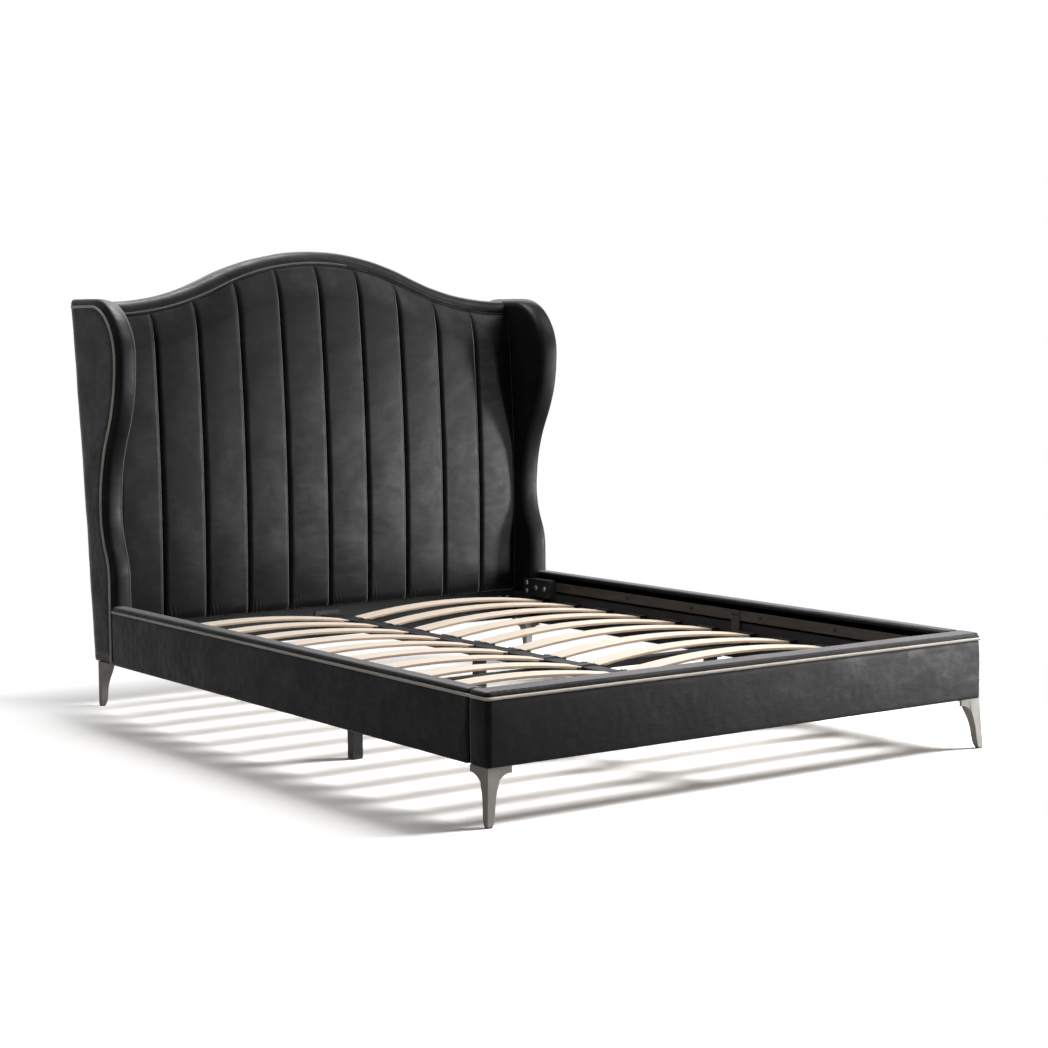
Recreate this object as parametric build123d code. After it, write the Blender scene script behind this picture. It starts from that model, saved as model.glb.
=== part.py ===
from build123d import *
from math import asin, atan, cos, degrees, radians, sin, tan
import os

os.makedirs("parts", exist_ok=True)

# Wingback bed for a 1500 by 2000 mattress, in millimetres.
# It is drawn with x across, y from the foot rail's front face to the headboard and z up from the
# floor, and moved at the end so that the origin lies under the middle of the whole bed.

# Bedstead
mattress_width = 1500.0
mattress_play = 15.0
rail_thickness = 50.0
rail_length = 1932.0
rail_bottom = 139.0
rail_height = 179.0
rail_top_roll = 12.0
rail_bottom_roll = 4.0
rail_board_thickness = 28.0
top_wrap = 14.0
bottom_wrap = 4.0
foot_depth = 78.0
foot_pad = 20.0
foot_board_thickness = 25.0
foot_corner_roll = 14.0
piping_radius = 4.0
piping_drop = 16.0

# Headboard, leaning back
rake = 5.3
crown_height = 1402.0
crown_rise = 164.0
crown_share = 0.493
channel_count = 10
channel_side_radius = 26.0
channel_side_turn = 70.0
channel_crown_turn = 10.0
panel_bow_radius = 6400.0
panel_bow_height = 535.0
panel_bow_front = 2114.0
panel_bottom = 250.0
panel_edge_depth = 93.0
panel_front_depth = 125.0
panel_top_pinch = 55.0
panel_foot_pinch = 10.0
border_width = 44.0
border_depth = 98.0
border_roll = 34.0
border_seam_roll = 7.0
border_back_roll = 8.0
border_cap = 14.0
back_cover_thickness = 2.0
frame_timber_depth = 20.0
frame_timber_width = 54.0
board_thickness = 8.0
foam_thickness = 6.0
mid_rail_share = 0.5654

# Wings
wing_thickness = 71.0
wing_low_depth = 129.0
wing_low_height = 400.0
wing_neck_height = 606.0
wing_neck_setback = 49.0
wing_top_rise = 6.0
wing_front_reach = 72.0
wing_shoulder_radius = 178.0
wing_band_swell = 5.0
wing_low_share = 0.58
wing_neck_share = 0.5
wing_pad = 16.0
wing_back_pad = 6.0
wing_outer_pad = 18.0
wing_inner_pad = 4.0
wing_bottom_roll = 22.0
wing_top_roll = 10.0
wing_inner_roll = 9.0

# Corner legs
leg_inset = 4.0
rear_leg_setback = 20.0
leg_side_arm = 76.0
leg_end_arm = 68.0
leg_wall = 7.0
leg_collar = 17.0
leg_plate_thickness = 5.0
leg_plate_margin = 4.0
leg_tip = 15.5
leg_knee = 36.0
leg_arm_foot = 26.0
leg_arch = 28.0
leg_arch_reach = 29.0
leg_arch_drop = 8.0
leg_flare = 8.0
leg_notch_width = 10.0
leg_notch_height = 44.0
leg_notch_depth = 13.0
leg_notch_reach = 28.0
leg_height_shares = (0.0, 0.35, 0.62, 0.78, 1.0)
leg_swell_shares = (0.0, 0.32, 0.6, 0.88, 1.0)
leg_screw_edge = 13.0
leg_screw_near = 22.0
leg_screw_step = 7.0
glide_height = 4.0
glide_margin = 1.0
glide_roll = 1.5

# Slats and what carries them
slat_rows = 11
slat_pitch = 178.0
slat_width = 70.0
slat_thickness = 8.0
slat_crown = 28.0
slat_edge = 2.0
slat_clearance = 0.3
first_slat_gap = 41.0
cap_insert = 22.0
cap_wall = 4.0
cap_height = 17.0
cap_floor = 3.0
holder_wall = 3.0
holder_insert = 18.0
holder_cheek = 10.0
holder_pad = 48.0
holder_rib = 1.2
holder_rib_width = 6.0
beam_width = 50.0
beam_height = 31.0
beam_rise = 9.0
bar_width = 40.0
bar_height = 20.0
tube_wall = 2.0
ledge_drop = 71.0
steel = 3.0
ledge_width = 30.0
cross_bar_place = 915.0
bar_end_gap = 4.0
hanger_width = 38.0
hanger_offset = 26.0
hanger_shelf = 40.0
hanger_notch_gap = 0.5
strip_height = 31.0
strip_drop = 30.0
strip_start_gap = 50.0
strip_end_gap = 115.0
beam_plate_margin = 20.0
beam_plate_drop = 18.0
beam_plate_rise = 11.0
beam_shelf = 48.0
beam_end_gap = 1.0

# Support legs under the slats
support_tube = 30.0
centre_leg_place = 1234.0
side_leg_inset = 143.0
leg_head_length = 70.0
foot_height = 9.0
foot_bevel = 2.0
foot_spigot = 16.0
foot_spigot_gap = 0.3

# Corner brackets
bracket_thickness = 5.0
bracket_drop = 24.0
bracket_height = 60.0
rear_bracket_rail = 110.0
rear_bracket_wing = 40.0
rear_bracket_board = 80.0
rear_bracket_tail = 52.0
rear_bracket_panel_gap = 7.0
packer_end_gap = 5.0
front_bracket_rail = 46.0
front_bracket_foot = 70.0
rail_bolt_shares = (0.25, 0.7)
wing_bolt_shares = (0.28, 0.75)
board_bolt_shares = (0.35, 0.75)
foot_bolt_share = 0.65

# Fasteners
bolt_radius = 4.0
bolt_head = 8.0
bolt_head_height = 4.5
screw_radius = 2.5
screw_head = 5.0
screw_head_height = 3.0
screw_length = 20.0
beam_screw_length = 14.0
leg_screw_length = 44.0
strip_screw_count = 6
strip_screw_margin = 72.0
strap_screw_spacing = 18.0
wing_bolt_grip = 34.0
hole_clearance = 0.2
wing_bolt_height_shares = (0.21, 0.5, 0.79)

# One overrun serves all cuts
overrun = 5.0

# Places that follow from the sizes above
inner_half = mattress_width / 2 + mattress_play
side_leg_place = inner_half - side_leg_inset
outer_half = inner_half + rail_thickness
rail_top = rail_bottom + rail_height
wing_front = foot_depth + rail_length
back_foot = wing_front + wing_low_depth
panel_half = outer_half - wing_thickness
shoulder_height = crown_height - crown_rise
mid_rail_height = shoulder_height * mid_rail_share
wing_front_height = shoulder_height + wing_top_rise - wing_shoulder_radius
wing_bolt_heights = [shoulder_height * share for share in wing_bolt_height_shares]
board_face = outer_half - (rail_thickness - rail_board_thickness)
board_bottom = rail_bottom + bottom_wrap
board_top = rail_top - top_wrap
piping_height = rail_top - piping_drop
frame_back = back_cover_thickness
frame_front = frame_back + frame_timber_depth
board_front = frame_front + board_thickness
foam_front = board_front + foam_thickness
piping_inset = piping_radius + wing_band_swell
ledge_top = rail_bottom + ledge_drop
beam_top = ledge_top + beam_rise
beam_bottom = beam_top - beam_height
holder_reach = beam_width / 2 + holder_wall
bar_bottom = beam_bottom - bar_height
slat_under = ledge_top + cap_floor
first_slat = wing_front - first_slat_gap
rows = [first_slat - slat_pitch * index for index in range(slat_rows)]
pieces = {}


def block(x_range, y_range, z_range):
    """A box between two places on each axis."""
    sizes = [high - low for low, high in (x_range, y_range, z_range)]
    middle = [(low + high) / 2 for low, high in (x_range, y_range, z_range)]
    return Pos(*middle) * Box(*sizes)


def other_side(shape):
    """The same piece on the other side of the bed."""
    return mirror(shape, about=Plane.YZ)


def both_sides(shapes):
    """The shapes and their mirror images."""
    return shapes + [other_side(shape) for shape in shapes]


def lean(shape):
    """Headboard pieces are drawn upright with their back at y zero, then leaned and placed."""
    return Pos(0, back_foot, 0) * Rot(-rake, 0, 0) * shape


def group(shapes):
    """Separate solids kept in one node."""
    return Compound(children=[solid for shape in shapes for solid in shape.solids()])


def arc(centre, radius, start, end):
    """An arc about a centre between two angles in degrees."""
    angles = [radians(angle) for angle in (start, (start + end) / 2, end)]
    points = [(centre[0] + radius * cos(a), centre[1] + radius * sin(a)) for a in angles]
    return ThreePointArc(*points)


def s_bend(offset, rise, first_share):
    """Turn in degrees and both radii of two tangent arcs that step aside by offset over rise."""
    turn = 2 * atan(offset / rise)
    total = rise / sin(turn)
    return degrees(turn), total * first_share, total * (1 - first_share)


def closed_face(edges):
    return make_face(Wire(edges))


def bolt(place, direction, radius, length, head_radius, head_height):
    """A headed fastener: its head stands before the place and its shank runs on from it."""
    shank = extrude(Circle(radius), length)
    head = extrude(Circle(head_radius), -head_height)
    rim = head.faces().sort_by(Axis.Z)[0].edges()
    head = fillet(rim, head_height / 2)
    return Plane(origin=place, z_dir=direction) * (shank + head)


def shank_hole(place, direction, radius, length):
    """The room for a shank, a little wider and deeper than the shank itself."""
    hole = extrude(Circle(radius + hole_clearance), length + hole_clearance)
    return Plane(origin=place, z_dir=direction) * hole


# Headboard


def camel_edges(inset, half):
    """The crown's arc between two hollow shoulders, from left to right, moved in by inset."""
    turn = 2 * atan(crown_rise / half)
    total = half / sin(turn)
    crown = total * crown_share
    shoulder = total - crown
    tilt = degrees(turn)
    shoulder_centre = shoulder_height + shoulder
    left = arc((-half, shoulder_centre), shoulder + inset, -90, tilt - 90)
    middle = arc((0, crown_height - crown), crown - inset, 90 + tilt, 90 - tilt)
    right = arc((half, shoulder_centre), shoulder + inset, -90 - tilt, -90)
    return [left, middle, right]


def camel_face(inset, bottom, depth):
    """The headboard's outline, upright, at a depth in front of its back."""
    top = camel_edges(inset, panel_half)
    start = top[0] @ 0
    end = top[2] @ 1
    left_foot = (-panel_half, bottom)
    right_foot = (panel_half, bottom)
    sides = [Line(left_foot, start), Line(end, right_foot), Line(right_foot, left_foot)]
    face = closed_face([sides[0]] + top + sides[1:])
    return Pos(0, -depth, 0) * (Plane.XZ * face)


def camel_solid(inset, bottom, back, front):
    """The headboard's outline as a sheet between two depths in front of its back."""
    return extrude(camel_face(inset, bottom, back), front - back)


def upright(x_range, depth_range, height_range):
    """A box of the upright headboard, its depths counted forward from the back."""
    depths = (-depth_range[1], -depth_range[0])
    return block(x_range, depths, height_range)


def channel_edges(left, width):
    """One channel seen from above: a flat crown between two tight rounds, valley to valley."""
    side = radians(channel_side_turn)
    crown = radians(channel_crown_turn)
    run = channel_side_radius * (sin(side) - sin(crown))
    rise = channel_side_radius * (cos(crown) - cos(side))
    crown_radius = (width / 2 - run) / sin(crown)
    side_y = panel_bow_front - rise + channel_side_radius * cos(crown)
    left_x = left + run + channel_side_radius * sin(crown)
    right_x = left + width - run - channel_side_radius * sin(crown)
    crown_centre = (left + width / 2, panel_bow_front - rise + crown_radius * cos(crown))
    turn = channel_side_turn
    flat = channel_crown_turn
    first = arc((left_x, side_y), channel_side_radius, 270 - turn, 270 - flat)
    middle = arc(crown_centre, crown_radius, 270 - flat, 270 + flat)
    last = arc((right_x, side_y), channel_side_radius, 270 + flat, 270 + turn)
    return [first, middle, last]


def channelled_solid():
    """Upright channels on a front that bows gently from foot to crown, thick behind."""
    width = 2 * panel_half / channel_count
    edges = []
    for index in range(channel_count):
        edges += channel_edges(-panel_half + index * width, width)
    back = panel_bow_front + 2 * panel_front_depth
    right_back = (panel_half, back)
    left_back = (-panel_half, back)
    edges.append(Line((panel_half, panel_bow_front), right_back))
    edges.append(Line(right_back, left_back))
    edges.append(Line(left_back, (-panel_half, panel_bow_front)))
    profile = Pos(0, 0, panel_bow_height) * closed_face(edges)
    centre = (0, panel_bow_front + panel_bow_radius, panel_bow_height)
    low_turn = degrees(asin(panel_bow_height / panel_bow_radius))
    high_turn = degrees(asin((crown_height - panel_bow_height) / panel_bow_radius))
    axis = Axis(centre, (1, 0, 0))
    low_profile = profile.rotate(axis, low_turn)
    return revolve(low_profile, Axis(centre, (-1, 0, 0)), low_turn + high_turn)


def channel_panel():
    """The sewn panel, its upper ends drawn in towards the seam below the border."""
    body = camel_solid(border_width, panel_bottom, foam_front, panel_edge_depth)
    root = camel_face(border_width, panel_bottom, panel_edge_depth)
    pinch = border_width + panel_top_pinch
    tip = camel_face(pinch, panel_bottom + panel_foot_pinch, panel_front_depth)
    outline = body + loft([root, tip], ruled=True)
    return channelled_solid() & lean(outline)


def border():
    """The padded roll that runs over the crown and down both shoulders."""
    path = Wire(Plane.XZ * Curve(children=camel_edges(border_width / 2, panel_half)))
    section = Rectangle(border_depth, border_width)
    front_top = section.vertices().group_by(Axis.X)[0].sort_by(Axis.Y)[-1]
    section = fillet(front_top, border_roll)
    front_low = section.vertices().group_by(Axis.X)[0].sort_by(Axis.Y)[0]
    section = fillet(front_low, border_seam_roll)
    back_top = section.vertices().group_by(Axis.X)[-1].sort_by(Axis.Y)[-1]
    section = fillet(back_top, border_back_roll)
    start = path @ 0
    place = Plane(origin=(start.X, -border_depth / 2, start.Z), x_dir=(0, 1, 0), z_dir=(1, 0, 0))
    roll = sweep(place * section, path=path)
    return roll - camel_solid(border_cap, 0, -overrun, foam_front)


def make_headboard_frame():
    timber_edge = panel_half - frame_timber_width
    low = board_bottom
    timber = (frame_back, frame_front)
    wood = camel_solid(border_cap, low, frame_back, frame_front)
    post = wood & upright((timber_edge, panel_half), timber, (low, crown_height))
    between = (-timber_edge, timber_edge)
    hollow = camel_solid(border_cap + frame_timber_width, low, frame_back, frame_front)
    top_rail = (wood - hollow) & upright(between, timber, (low, crown_height))
    rail_heights = (low, mid_rail_height)
    cross_rails = [upright(between, timber, (z, z + frame_timber_width)) for z in rail_heights]
    stile_range = (-frame_timber_width / 2, frame_timber_width / 2)
    stile = wood & upright(stile_range, timber, (low, crown_height))
    stile = stile - top_rail - cross_rails[0] - cross_rails[1]
    for bolt_hole in wing_bolt_parts(shank_hole):
        post = post - bolt_hole
    pieces["headboard_posts"] = group([lean(post), lean(other_side(post))])
    pieces["headboard_top_rail"] = lean(top_rail)
    pieces["headboard_cross_rails"] = group([lean(rail) for rail in cross_rails])
    pieces["headboard_centre_stile"] = lean(stile)


def make_headboard_panels():
    low = board_bottom
    board = camel_solid(border_cap, panel_bottom, frame_front, board_front)
    across = (-panel_half, panel_half)
    lower_board = upright(across, (frame_front, foam_front), (low, panel_bottom))
    for place, direction, length in board_bolts():
        hole = shank_hole(place, direction, bolt_radius, length)
        lower_board = lower_board - hole - other_side(hole)
    for place, direction in head_hanger_screws():
        hole = shank_hole(place, direction, screw_radius, beam_screw_length)
        lower_board = lower_board - hole
    foam = camel_solid(border_cap, panel_bottom, board_front, foam_front)
    cover = camel_solid(border_cap, low, 0, frame_back)
    pieces["headboard_board"] = lean(board)
    pieces["headboard_lower_board"] = lean(lower_board)
    pieces["headboard_foam"] = lean(foam)
    pieces["channel_panel"] = channel_panel()
    pieces["headboard_border"] = lean(border())
    pieces["headboard_back_cover"] = lean(cover)


# Wings


def wing_front_edges(inset):
    """The wing's front and top edge, from its foot to the end of the shoulder."""
    low_y = wing_front
    neck_y = wing_front + wing_neck_setback
    front_y = wing_front - wing_front_reach
    low_rise = wing_neck_height - wing_low_height
    turn_low, low_bow, low_hollow = s_bend(wing_neck_setback, low_rise, 1 - wing_low_share)
    high_rise = wing_front_height - wing_neck_height
    turn_high, high_hollow, high_bow = s_bend(neck_y - front_y, high_rise, wing_neck_share)
    shoulder = (front_y + wing_shoulder_radius, wing_front_height)
    foot = Line((low_y + inset, rail_bottom), (low_y + inset, wing_low_height))
    bow = arc((low_y + low_bow, wing_low_height), low_bow - inset, 180, 180 - turn_low)
    hollow = arc((neck_y - low_hollow, wing_neck_height), low_hollow + inset, -turn_low, 0)
    rise = arc((neck_y - high_hollow, wing_neck_height), high_hollow + inset, 0, turn_high)
    cheek = arc((front_y + high_bow, wing_front_height), high_bow - inset, 180 + turn_high, 180)
    top = arc(shoulder, wing_shoulder_radius - inset, 180, 90)
    return [foot, bow, hollow, rise, cheek, top]


def wing_back_line(height, inset):
    return back_foot + height * tan(radians(rake)) - inset / cos(radians(rake))


def wing_face(inset, back_inset):
    """The wing's outline, its front and top moved in by one inset and its back by another."""
    front = wing_front_edges(inset)
    start = front[0] @ 0
    end = front[-1] @ 1
    back_top = (wing_back_line(end.Y, back_inset), end.Y)
    back_low = (wing_back_line(rail_bottom, back_inset), rail_bottom)
    rest = [Line(end, back_top), Line(back_top, back_low), Line(back_low, start)]
    return closed_face(front + rest)


def wing_sheet(inset, back_inset, x_range):
    face = wing_face(inset, back_inset)
    upper = face.vertices().sort_by(lambda corner: corner.Y + corner.X)[-1]
    face = fillet(upper, wing_top_roll)
    lower = face.vertices().sort_by(lambda corner: corner.Y - corner.X)[0]
    face = fillet(lower, wing_bottom_roll)
    return Pos(x_range[0], 0, 0) * extrude(Plane.YZ * face, x_range[1] - x_range[0])


def wing_piping():
    """A corded bead in the corner of the wing's outer face, up the front and along the top."""
    edges = wing_front_edges(piping_inset)
    end = edges[-1] @ 1
    back = (wing_back_line(end.Y, wing_top_roll), end.Y)
    edges.append(Line(end, back))
    path = Pos(outer_half - piping_radius, 0, 0) * Wire(Plane.YZ * Curve(children=edges))
    return sweep(Plane(origin=path @ 0, z_dir=path % 0) * Circle(piping_radius), path=path)


def wing_bolt_parts(maker, *sizes):
    """Bolts or their holes, from the post into the wing, in the upright headboard's frame."""
    depth = -(frame_back + frame_front) / 2
    reach = frame_timber_width + wing_bolt_grip
    start = panel_half - frame_timber_width
    places = [(start, depth, height) for height in wing_bolt_heights]
    return [maker(place, (1, 0, 0), bolt_radius, reach, *sizes) for place in places]


def make_wings():
    step = outer_half - 2 * piping_radius
    inner_slab = wing_sheet(0, 0, (panel_half, step))
    front_edges = inner_slab.faces().sort_by(Axis.X)[0].edges()
    front_y_limit = wing_front + wing_neck_setback + wing_pad
    rolled = [edge for edge in front_edges if edge.center().Y < front_y_limit]
    rolled = [edge for edge in rolled if edge.bounding_box().size.Z > wing_pad]
    inner_slab = fillet(rolled, wing_inner_roll)
    outer_sheet = wing_sheet(piping_inset + piping_radius, 0, (step, outer_half))
    body = inner_slab + outer_sheet
    core_range = (panel_half + wing_inner_pad, outer_half - wing_outer_pad)
    core = Pos(core_range[0], 0, 0) * extrude(
        Plane.YZ * wing_face(wing_pad, wing_back_pad), core_range[1] - core_range[0]
    )
    core = core & body
    cover = body - core
    holes = [lean(hole) for hole in wing_bolt_parts(shank_hole)]
    holes += [shank_hole(*place, bolt_radius, length) for place, length in wing_bracket_bolts()]
    for hole in holes:
        core = core - hole
        cover = cover - hole
    for place in rear_leg_screws():
        core = core - shank_hole(place, (0, 0, 1), screw_radius, leg_screw_length)
    piping = wing_piping()
    bolts = [lean(item) for item in wing_bolt_parts(bolt, bolt_head, bolt_head_height)]
    for side, place in (("right", lambda shape: shape), ("left", other_side)):
        pieces[side + "_wing_frame"] = place(core)
        pieces[side + "_wing_cover"] = place(cover)
        pieces[side + "_wing_piping"] = place(piping)
    pieces["wing_bolts"] = group(both_sides(bolts))


# Rails


def rail_section():
    """The padded rail seen from its end: rolled edges and a groove for the piping."""
    section = Pos(outer_half - rail_thickness / 2, rail_bottom + rail_height / 2) * Rectangle(
        rail_thickness, rail_height
    )
    corners = section.vertices()
    section = fillet(corners.group_by(Axis.Y)[-1], rail_top_roll)
    low = section.vertices().group_by(Axis.Y)[0]
    section = fillet(low, rail_bottom_roll)
    section = section - Pos(outer_half, piping_height) * Circle(piping_radius)
    middle = ((inner_half + board_face) / 2, (board_bottom + board_top) / 2)
    board = Pos(*middle) * Rectangle(rail_board_thickness, board_top - board_bottom)
    return section - board


def along_rail(section, start, end):
    return Pos(0, end, 0) * extrude(Plane.XZ * section, end - start)


def make_side_rails():
    cover = along_rail(rail_section(), foot_depth, wing_front)
    bead = along_rail(
        Pos(outer_half, piping_height) * Circle(piping_radius), foot_depth, wing_front
    )
    board = block(
        (inner_half, board_face), (foot_depth, wing_front), (board_bottom, board_top)
    )
    for place, length in rail_fasteners():
        board = board - shank_hole(*place, length)
    for side, place in (("right", lambda shape: shape), ("left", other_side)):
        pieces[side + "_side_rail_board"] = place(board)
        pieces[side + "_side_rail_cover"] = place(cover)
        pieces[side + "_side_rail_piping"] = place(bead)


def foot_piping_path():
    """Round both rolled corners of the foot rail, level with the side rails' piping."""
    roll = foot_corner_roll
    near = outer_half - roll
    left = Line((-outer_half, foot_depth), (-outer_half, roll))
    left_turn = arc((-near, roll), roll, 180, 270)
    front = Line((-near, 0), (near, 0))
    right_turn = arc((near, roll), roll, 270, 360)
    right = Line((outer_half, roll), (outer_half, foot_depth))
    edges = [left, left_turn, front, right_turn, right]
    return Pos(0, 0, piping_height) * Wire(Curve(children=edges))


def make_foot_rail():
    body = block(
        (-outer_half, outer_half), (0, foot_depth), (rail_bottom, rail_bottom + rail_height)
    )
    uprights = body.edges().filter_by(Axis.Z).group_by(Axis.Y)[0]
    body = fillet(uprights, foot_corner_roll)
    body = fillet(body.faces().sort_by(Axis.Z)[-1].edges(), rail_top_roll)
    low = body.faces().sort_by(Axis.Z)[0].edges().sort_by(Axis.Y)[:-1]
    body = fillet(low, rail_bottom_roll)
    path = foot_piping_path()
    bead = sweep(Plane(origin=path @ 0, z_dir=path % 0) * Circle(piping_radius), path=path)
    boards = (-board_face, board_face)
    heights = (board_bottom, board_top)
    joint = foot_pad + foot_board_thickness
    outer_board = block(boards, (foot_pad, joint), heights)
    inner_board = block(boards, (joint, foot_depth), heights)
    cover = body - outer_board - inner_board - bead
    for place in both_places(front_leg_screws()):
        hole = shank_hole(place, (0, 0, 1), screw_radius, leg_screw_length)
        cover = cover - hole
        outer_board = outer_board - hole
        inner_board = inner_board - hole
    for place in both_places([foot_bracket_bolt()[0]]):
        hole = shank_hole(place, (0, -1, 0), bolt_radius, foot_bracket_bolt()[1])
        outer_board = outer_board - hole
        inner_board = inner_board - hole
    for place in foot_hanger_screws():
        hole = shank_hole(place, (0, -1, 0), screw_radius, beam_screw_length)
        inner_board = inner_board - hole
    pieces["foot_rail_board"] = outer_board
    pieces["foot_rail_inner_board"] = inner_board
    pieces["foot_rail_cover"] = cover
    pieces["foot_rail_piping"] = bead


def both_places(places):
    return places + [(-x, y, z) for x, y, z in places]


# Steel on the rails


def strip_range():
    start = foot_depth + strip_start_gap
    end = wing_front - strip_end_gap
    return start, end


def strip_middle():
    return rail_top - strip_drop - strip_height / 2


def strip_screw_places():
    """Screws through the strip and through the ledge, evenly spaced along the rail."""
    start, end = strip_range()
    span = end - start - 2 * strip_screw_margin
    step = span / (strip_screw_count - 1)
    stations = [start + strip_screw_margin + step * index for index in range(strip_screw_count)]
    heights = (strip_middle(), ledge_top - ledge_width / 2 - steel)
    return [(inner_half - steel, y, z) for y in stations for z in heights]


def strap_screw_places():
    middle = hanger_middle()
    height = strip_middle() + screw_head / 2
    offsets = (-strap_screw_spacing / 2, strap_screw_spacing / 2)
    return [(inner_half - 2 * steel, middle + offset, height) for offset in offsets]


def hanger_middle():
    return cross_bar_place + bar_width / 2 + hanger_offset


def rail_fasteners():
    """Each shank that runs into the side rail's board, with its length."""
    out = (1, 0, 0)
    found = [((place, out, screw_radius), screw_length) for place in strip_screw_places()]
    found += [((place, out, screw_radius), screw_length) for place in strap_screw_places()]
    found += [((place, out, bolt_radius), length) for place, length in rail_bracket_bolts()]
    return found


def make_rail_steel():
    start, end = strip_range()
    middle = strip_middle()
    heights = (middle - strip_height / 2, middle + strip_height / 2)
    strip = block((inner_half - steel, inner_half), (start, end), heights)
    ledge_end = wing_front - steel
    flange = block(
        (inner_half - ledge_width, inner_half), (start, ledge_end), (ledge_top - steel, ledge_top)
    )
    web = block(
        (inner_half - steel, inner_half),
        (start, ledge_end),
        (ledge_top - ledge_width - steel, ledge_top - steel),
    )
    ledge = flange + web
    strap_range = (hanger_middle() - hanger_width / 2, hanger_middle() + hanger_width / 2)
    strap_x = (inner_half - 2 * steel, inner_half - steel)
    strap = block(strap_x, strap_range, (bar_bottom - steel, heights[1]))
    shelf = block(
        (inner_half - steel - hanger_shelf, inner_half - steel),
        (cross_bar_place - bar_width / 2, strap_range[1]),
        (bar_bottom - steel, bar_bottom),
    )
    notch = block(
        (strap_x[0] - hanger_notch_gap, strap_x[1]),
        (strap_range[0] - hanger_notch_gap, strap_range[1] + hanger_notch_gap),
        (ledge_top - steel - overrun, ledge_top + overrun),
    )
    hanger = strap + shelf
    ledge = ledge - notch
    screws = []
    for place in strip_screw_places():
        hole = shank_hole(place, (1, 0, 0), screw_radius, screw_length)
        strip = strip - hole
        ledge = ledge - hole
        screws.append(screw(place, (1, 0, 0), screw_length))
    for place in strap_screw_places():
        hole = shank_hole(place, (1, 0, 0), screw_radius, screw_length)
        strip = strip - hole
        hanger = hanger - hole
        screws.append(screw(place, (1, 0, 0), screw_length))
    for side, place in (("right", lambda shape: shape), ("left", other_side)):
        pieces[side + "_rail_strip"] = place(strip)
        pieces[side + "_slat_ledge"] = place(ledge)
        pieces[side + "_cross_bar_hanger"] = place(hanger)
    pieces["rail_screws"] = group(both_sides(screws))


def screw(place, direction, length):
    return bolt(place, direction, screw_radius, length, screw_head, screw_head_height)


# Corner brackets


def bracket_heights():
    top = rail_top - bracket_drop
    return top - bracket_height, top


def rail_bracket_bolts():
    """Bolts that run into a side rail's board: two at the head end and one at the foot."""
    middle = sum(bracket_heights()) / 2
    face = panel_half - bracket_thickness
    packer_start = wing_front - rear_bracket_rail
    stations = [packer_start + rear_bracket_rail * share for share in rail_bolt_shares]
    long_reach = board_face - face
    found = [((face, y, middle), long_reach) for y in stations]
    front_face = inner_half - bracket_thickness
    front_place = (front_face, foot_depth + front_bracket_rail / 2, middle)
    found.append((front_place, board_face - front_face))
    return found


def wing_bracket_bolts():
    """Bolts from the head bracket into the wing."""
    low, high = bracket_heights()
    y = wing_front + rear_bracket_wing / 2
    reach = bracket_thickness + wing_bolt_grip
    face = panel_half - bracket_thickness
    heights = [low + (high - low) * share for share in wing_bolt_shares]
    return [(((face, y, z), (1, 0, 0)), reach) for z in heights]


def tail_heights():
    """The head bracket's tail on the lower board, measured along the upright headboard."""
    top = panel_bottom - rear_bracket_panel_gap
    return top - rear_bracket_tail, top


def board_bolts():
    """Bolts from the head bracket's tail into the lower board, on the upright headboard."""
    middle = sum(tail_heights()) / 2
    depth = foam_front + bracket_thickness
    places = [panel_half - rear_bracket_board * share for share in board_bolt_shares]
    reach = depth - frame_front
    return [((x, -depth, middle), (0, 1, 0), reach) for x in places]


def foot_bracket_bolt():
    middle = sum(bracket_heights()) / 2
    x = inner_half - front_bracket_foot * foot_bolt_share
    return (x, foot_depth + bracket_thickness, middle), foot_depth + bracket_thickness - foot_pad


def rear_bracket():
    low, high = bracket_heights()
    plate_x = (panel_half - bracket_thickness, panel_half)
    start = wing_front - rear_bracket_rail
    plate = block(plate_x, (start, wing_front + rear_bracket_wing), (low, high))
    tail_low, tail_high = tail_heights()
    drop = block(plate_x, (wing_front, back_foot), (tail_low, tail_high))
    behind = lean(upright((0, outer_half), (-overrun, foam_front), (0, crown_height)))
    drop = drop - behind
    tail = lean(
        upright(
            (panel_half - rear_bracket_board, panel_half),
            (foam_front, foam_front + bracket_thickness),
            (tail_low, tail_high),
        )
    )
    drop = drop & block(plate_x, (wing_front, back_foot), (tail_low, tail_high))
    return plate + drop + tail


def make_brackets():
    low, high = bracket_heights()
    rear = rear_bracket()
    packer = block(
        (panel_half, inner_half),
        (wing_front - rear_bracket_rail, wing_front - packer_end_gap),
        (low, high),
    )
    front = block(
        (inner_half - bracket_thickness, inner_half),
        (foot_depth, foot_depth + front_bracket_rail),
        (low, high),
    ) + block(
        (inner_half - front_bracket_foot, inner_half),
        (foot_depth, foot_depth + bracket_thickness),
        (low, high),
    )
    bolts = []
    for place, length in rail_bracket_bolts():
        hole = shank_hole(place, (1, 0, 0), bolt_radius, length)
        rear = rear - hole
        packer = packer - hole
        front = front - hole
        bolts.append(bed_bolt(place, (1, 0, 0), length))
    for (place, direction), length in wing_bracket_bolts():
        rear = rear - shank_hole(place, direction, bolt_radius, length)
        bolts.append(bed_bolt(place, direction, length))
    for place, direction, length in board_bolts():
        rear = rear - lean(shank_hole(place, direction, bolt_radius, length))
        bolts.append(lean(bed_bolt(place, direction, length)))
    place, length = foot_bracket_bolt()
    front = front - shank_hole(place, (0, -1, 0), bolt_radius, length)
    bolts.append(bed_bolt(place, (0, -1, 0), length))
    for side, put in (("right", lambda shape: shape), ("left", other_side)):
        pieces[side + "_rear_bracket"] = put(rear)
        pieces[side + "_front_bracket"] = put(front)
    pieces["bracket_packers"] = group(both_sides([packer]))
    pieces["bed_bolts"] = group(both_sides(bolts))


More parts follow.
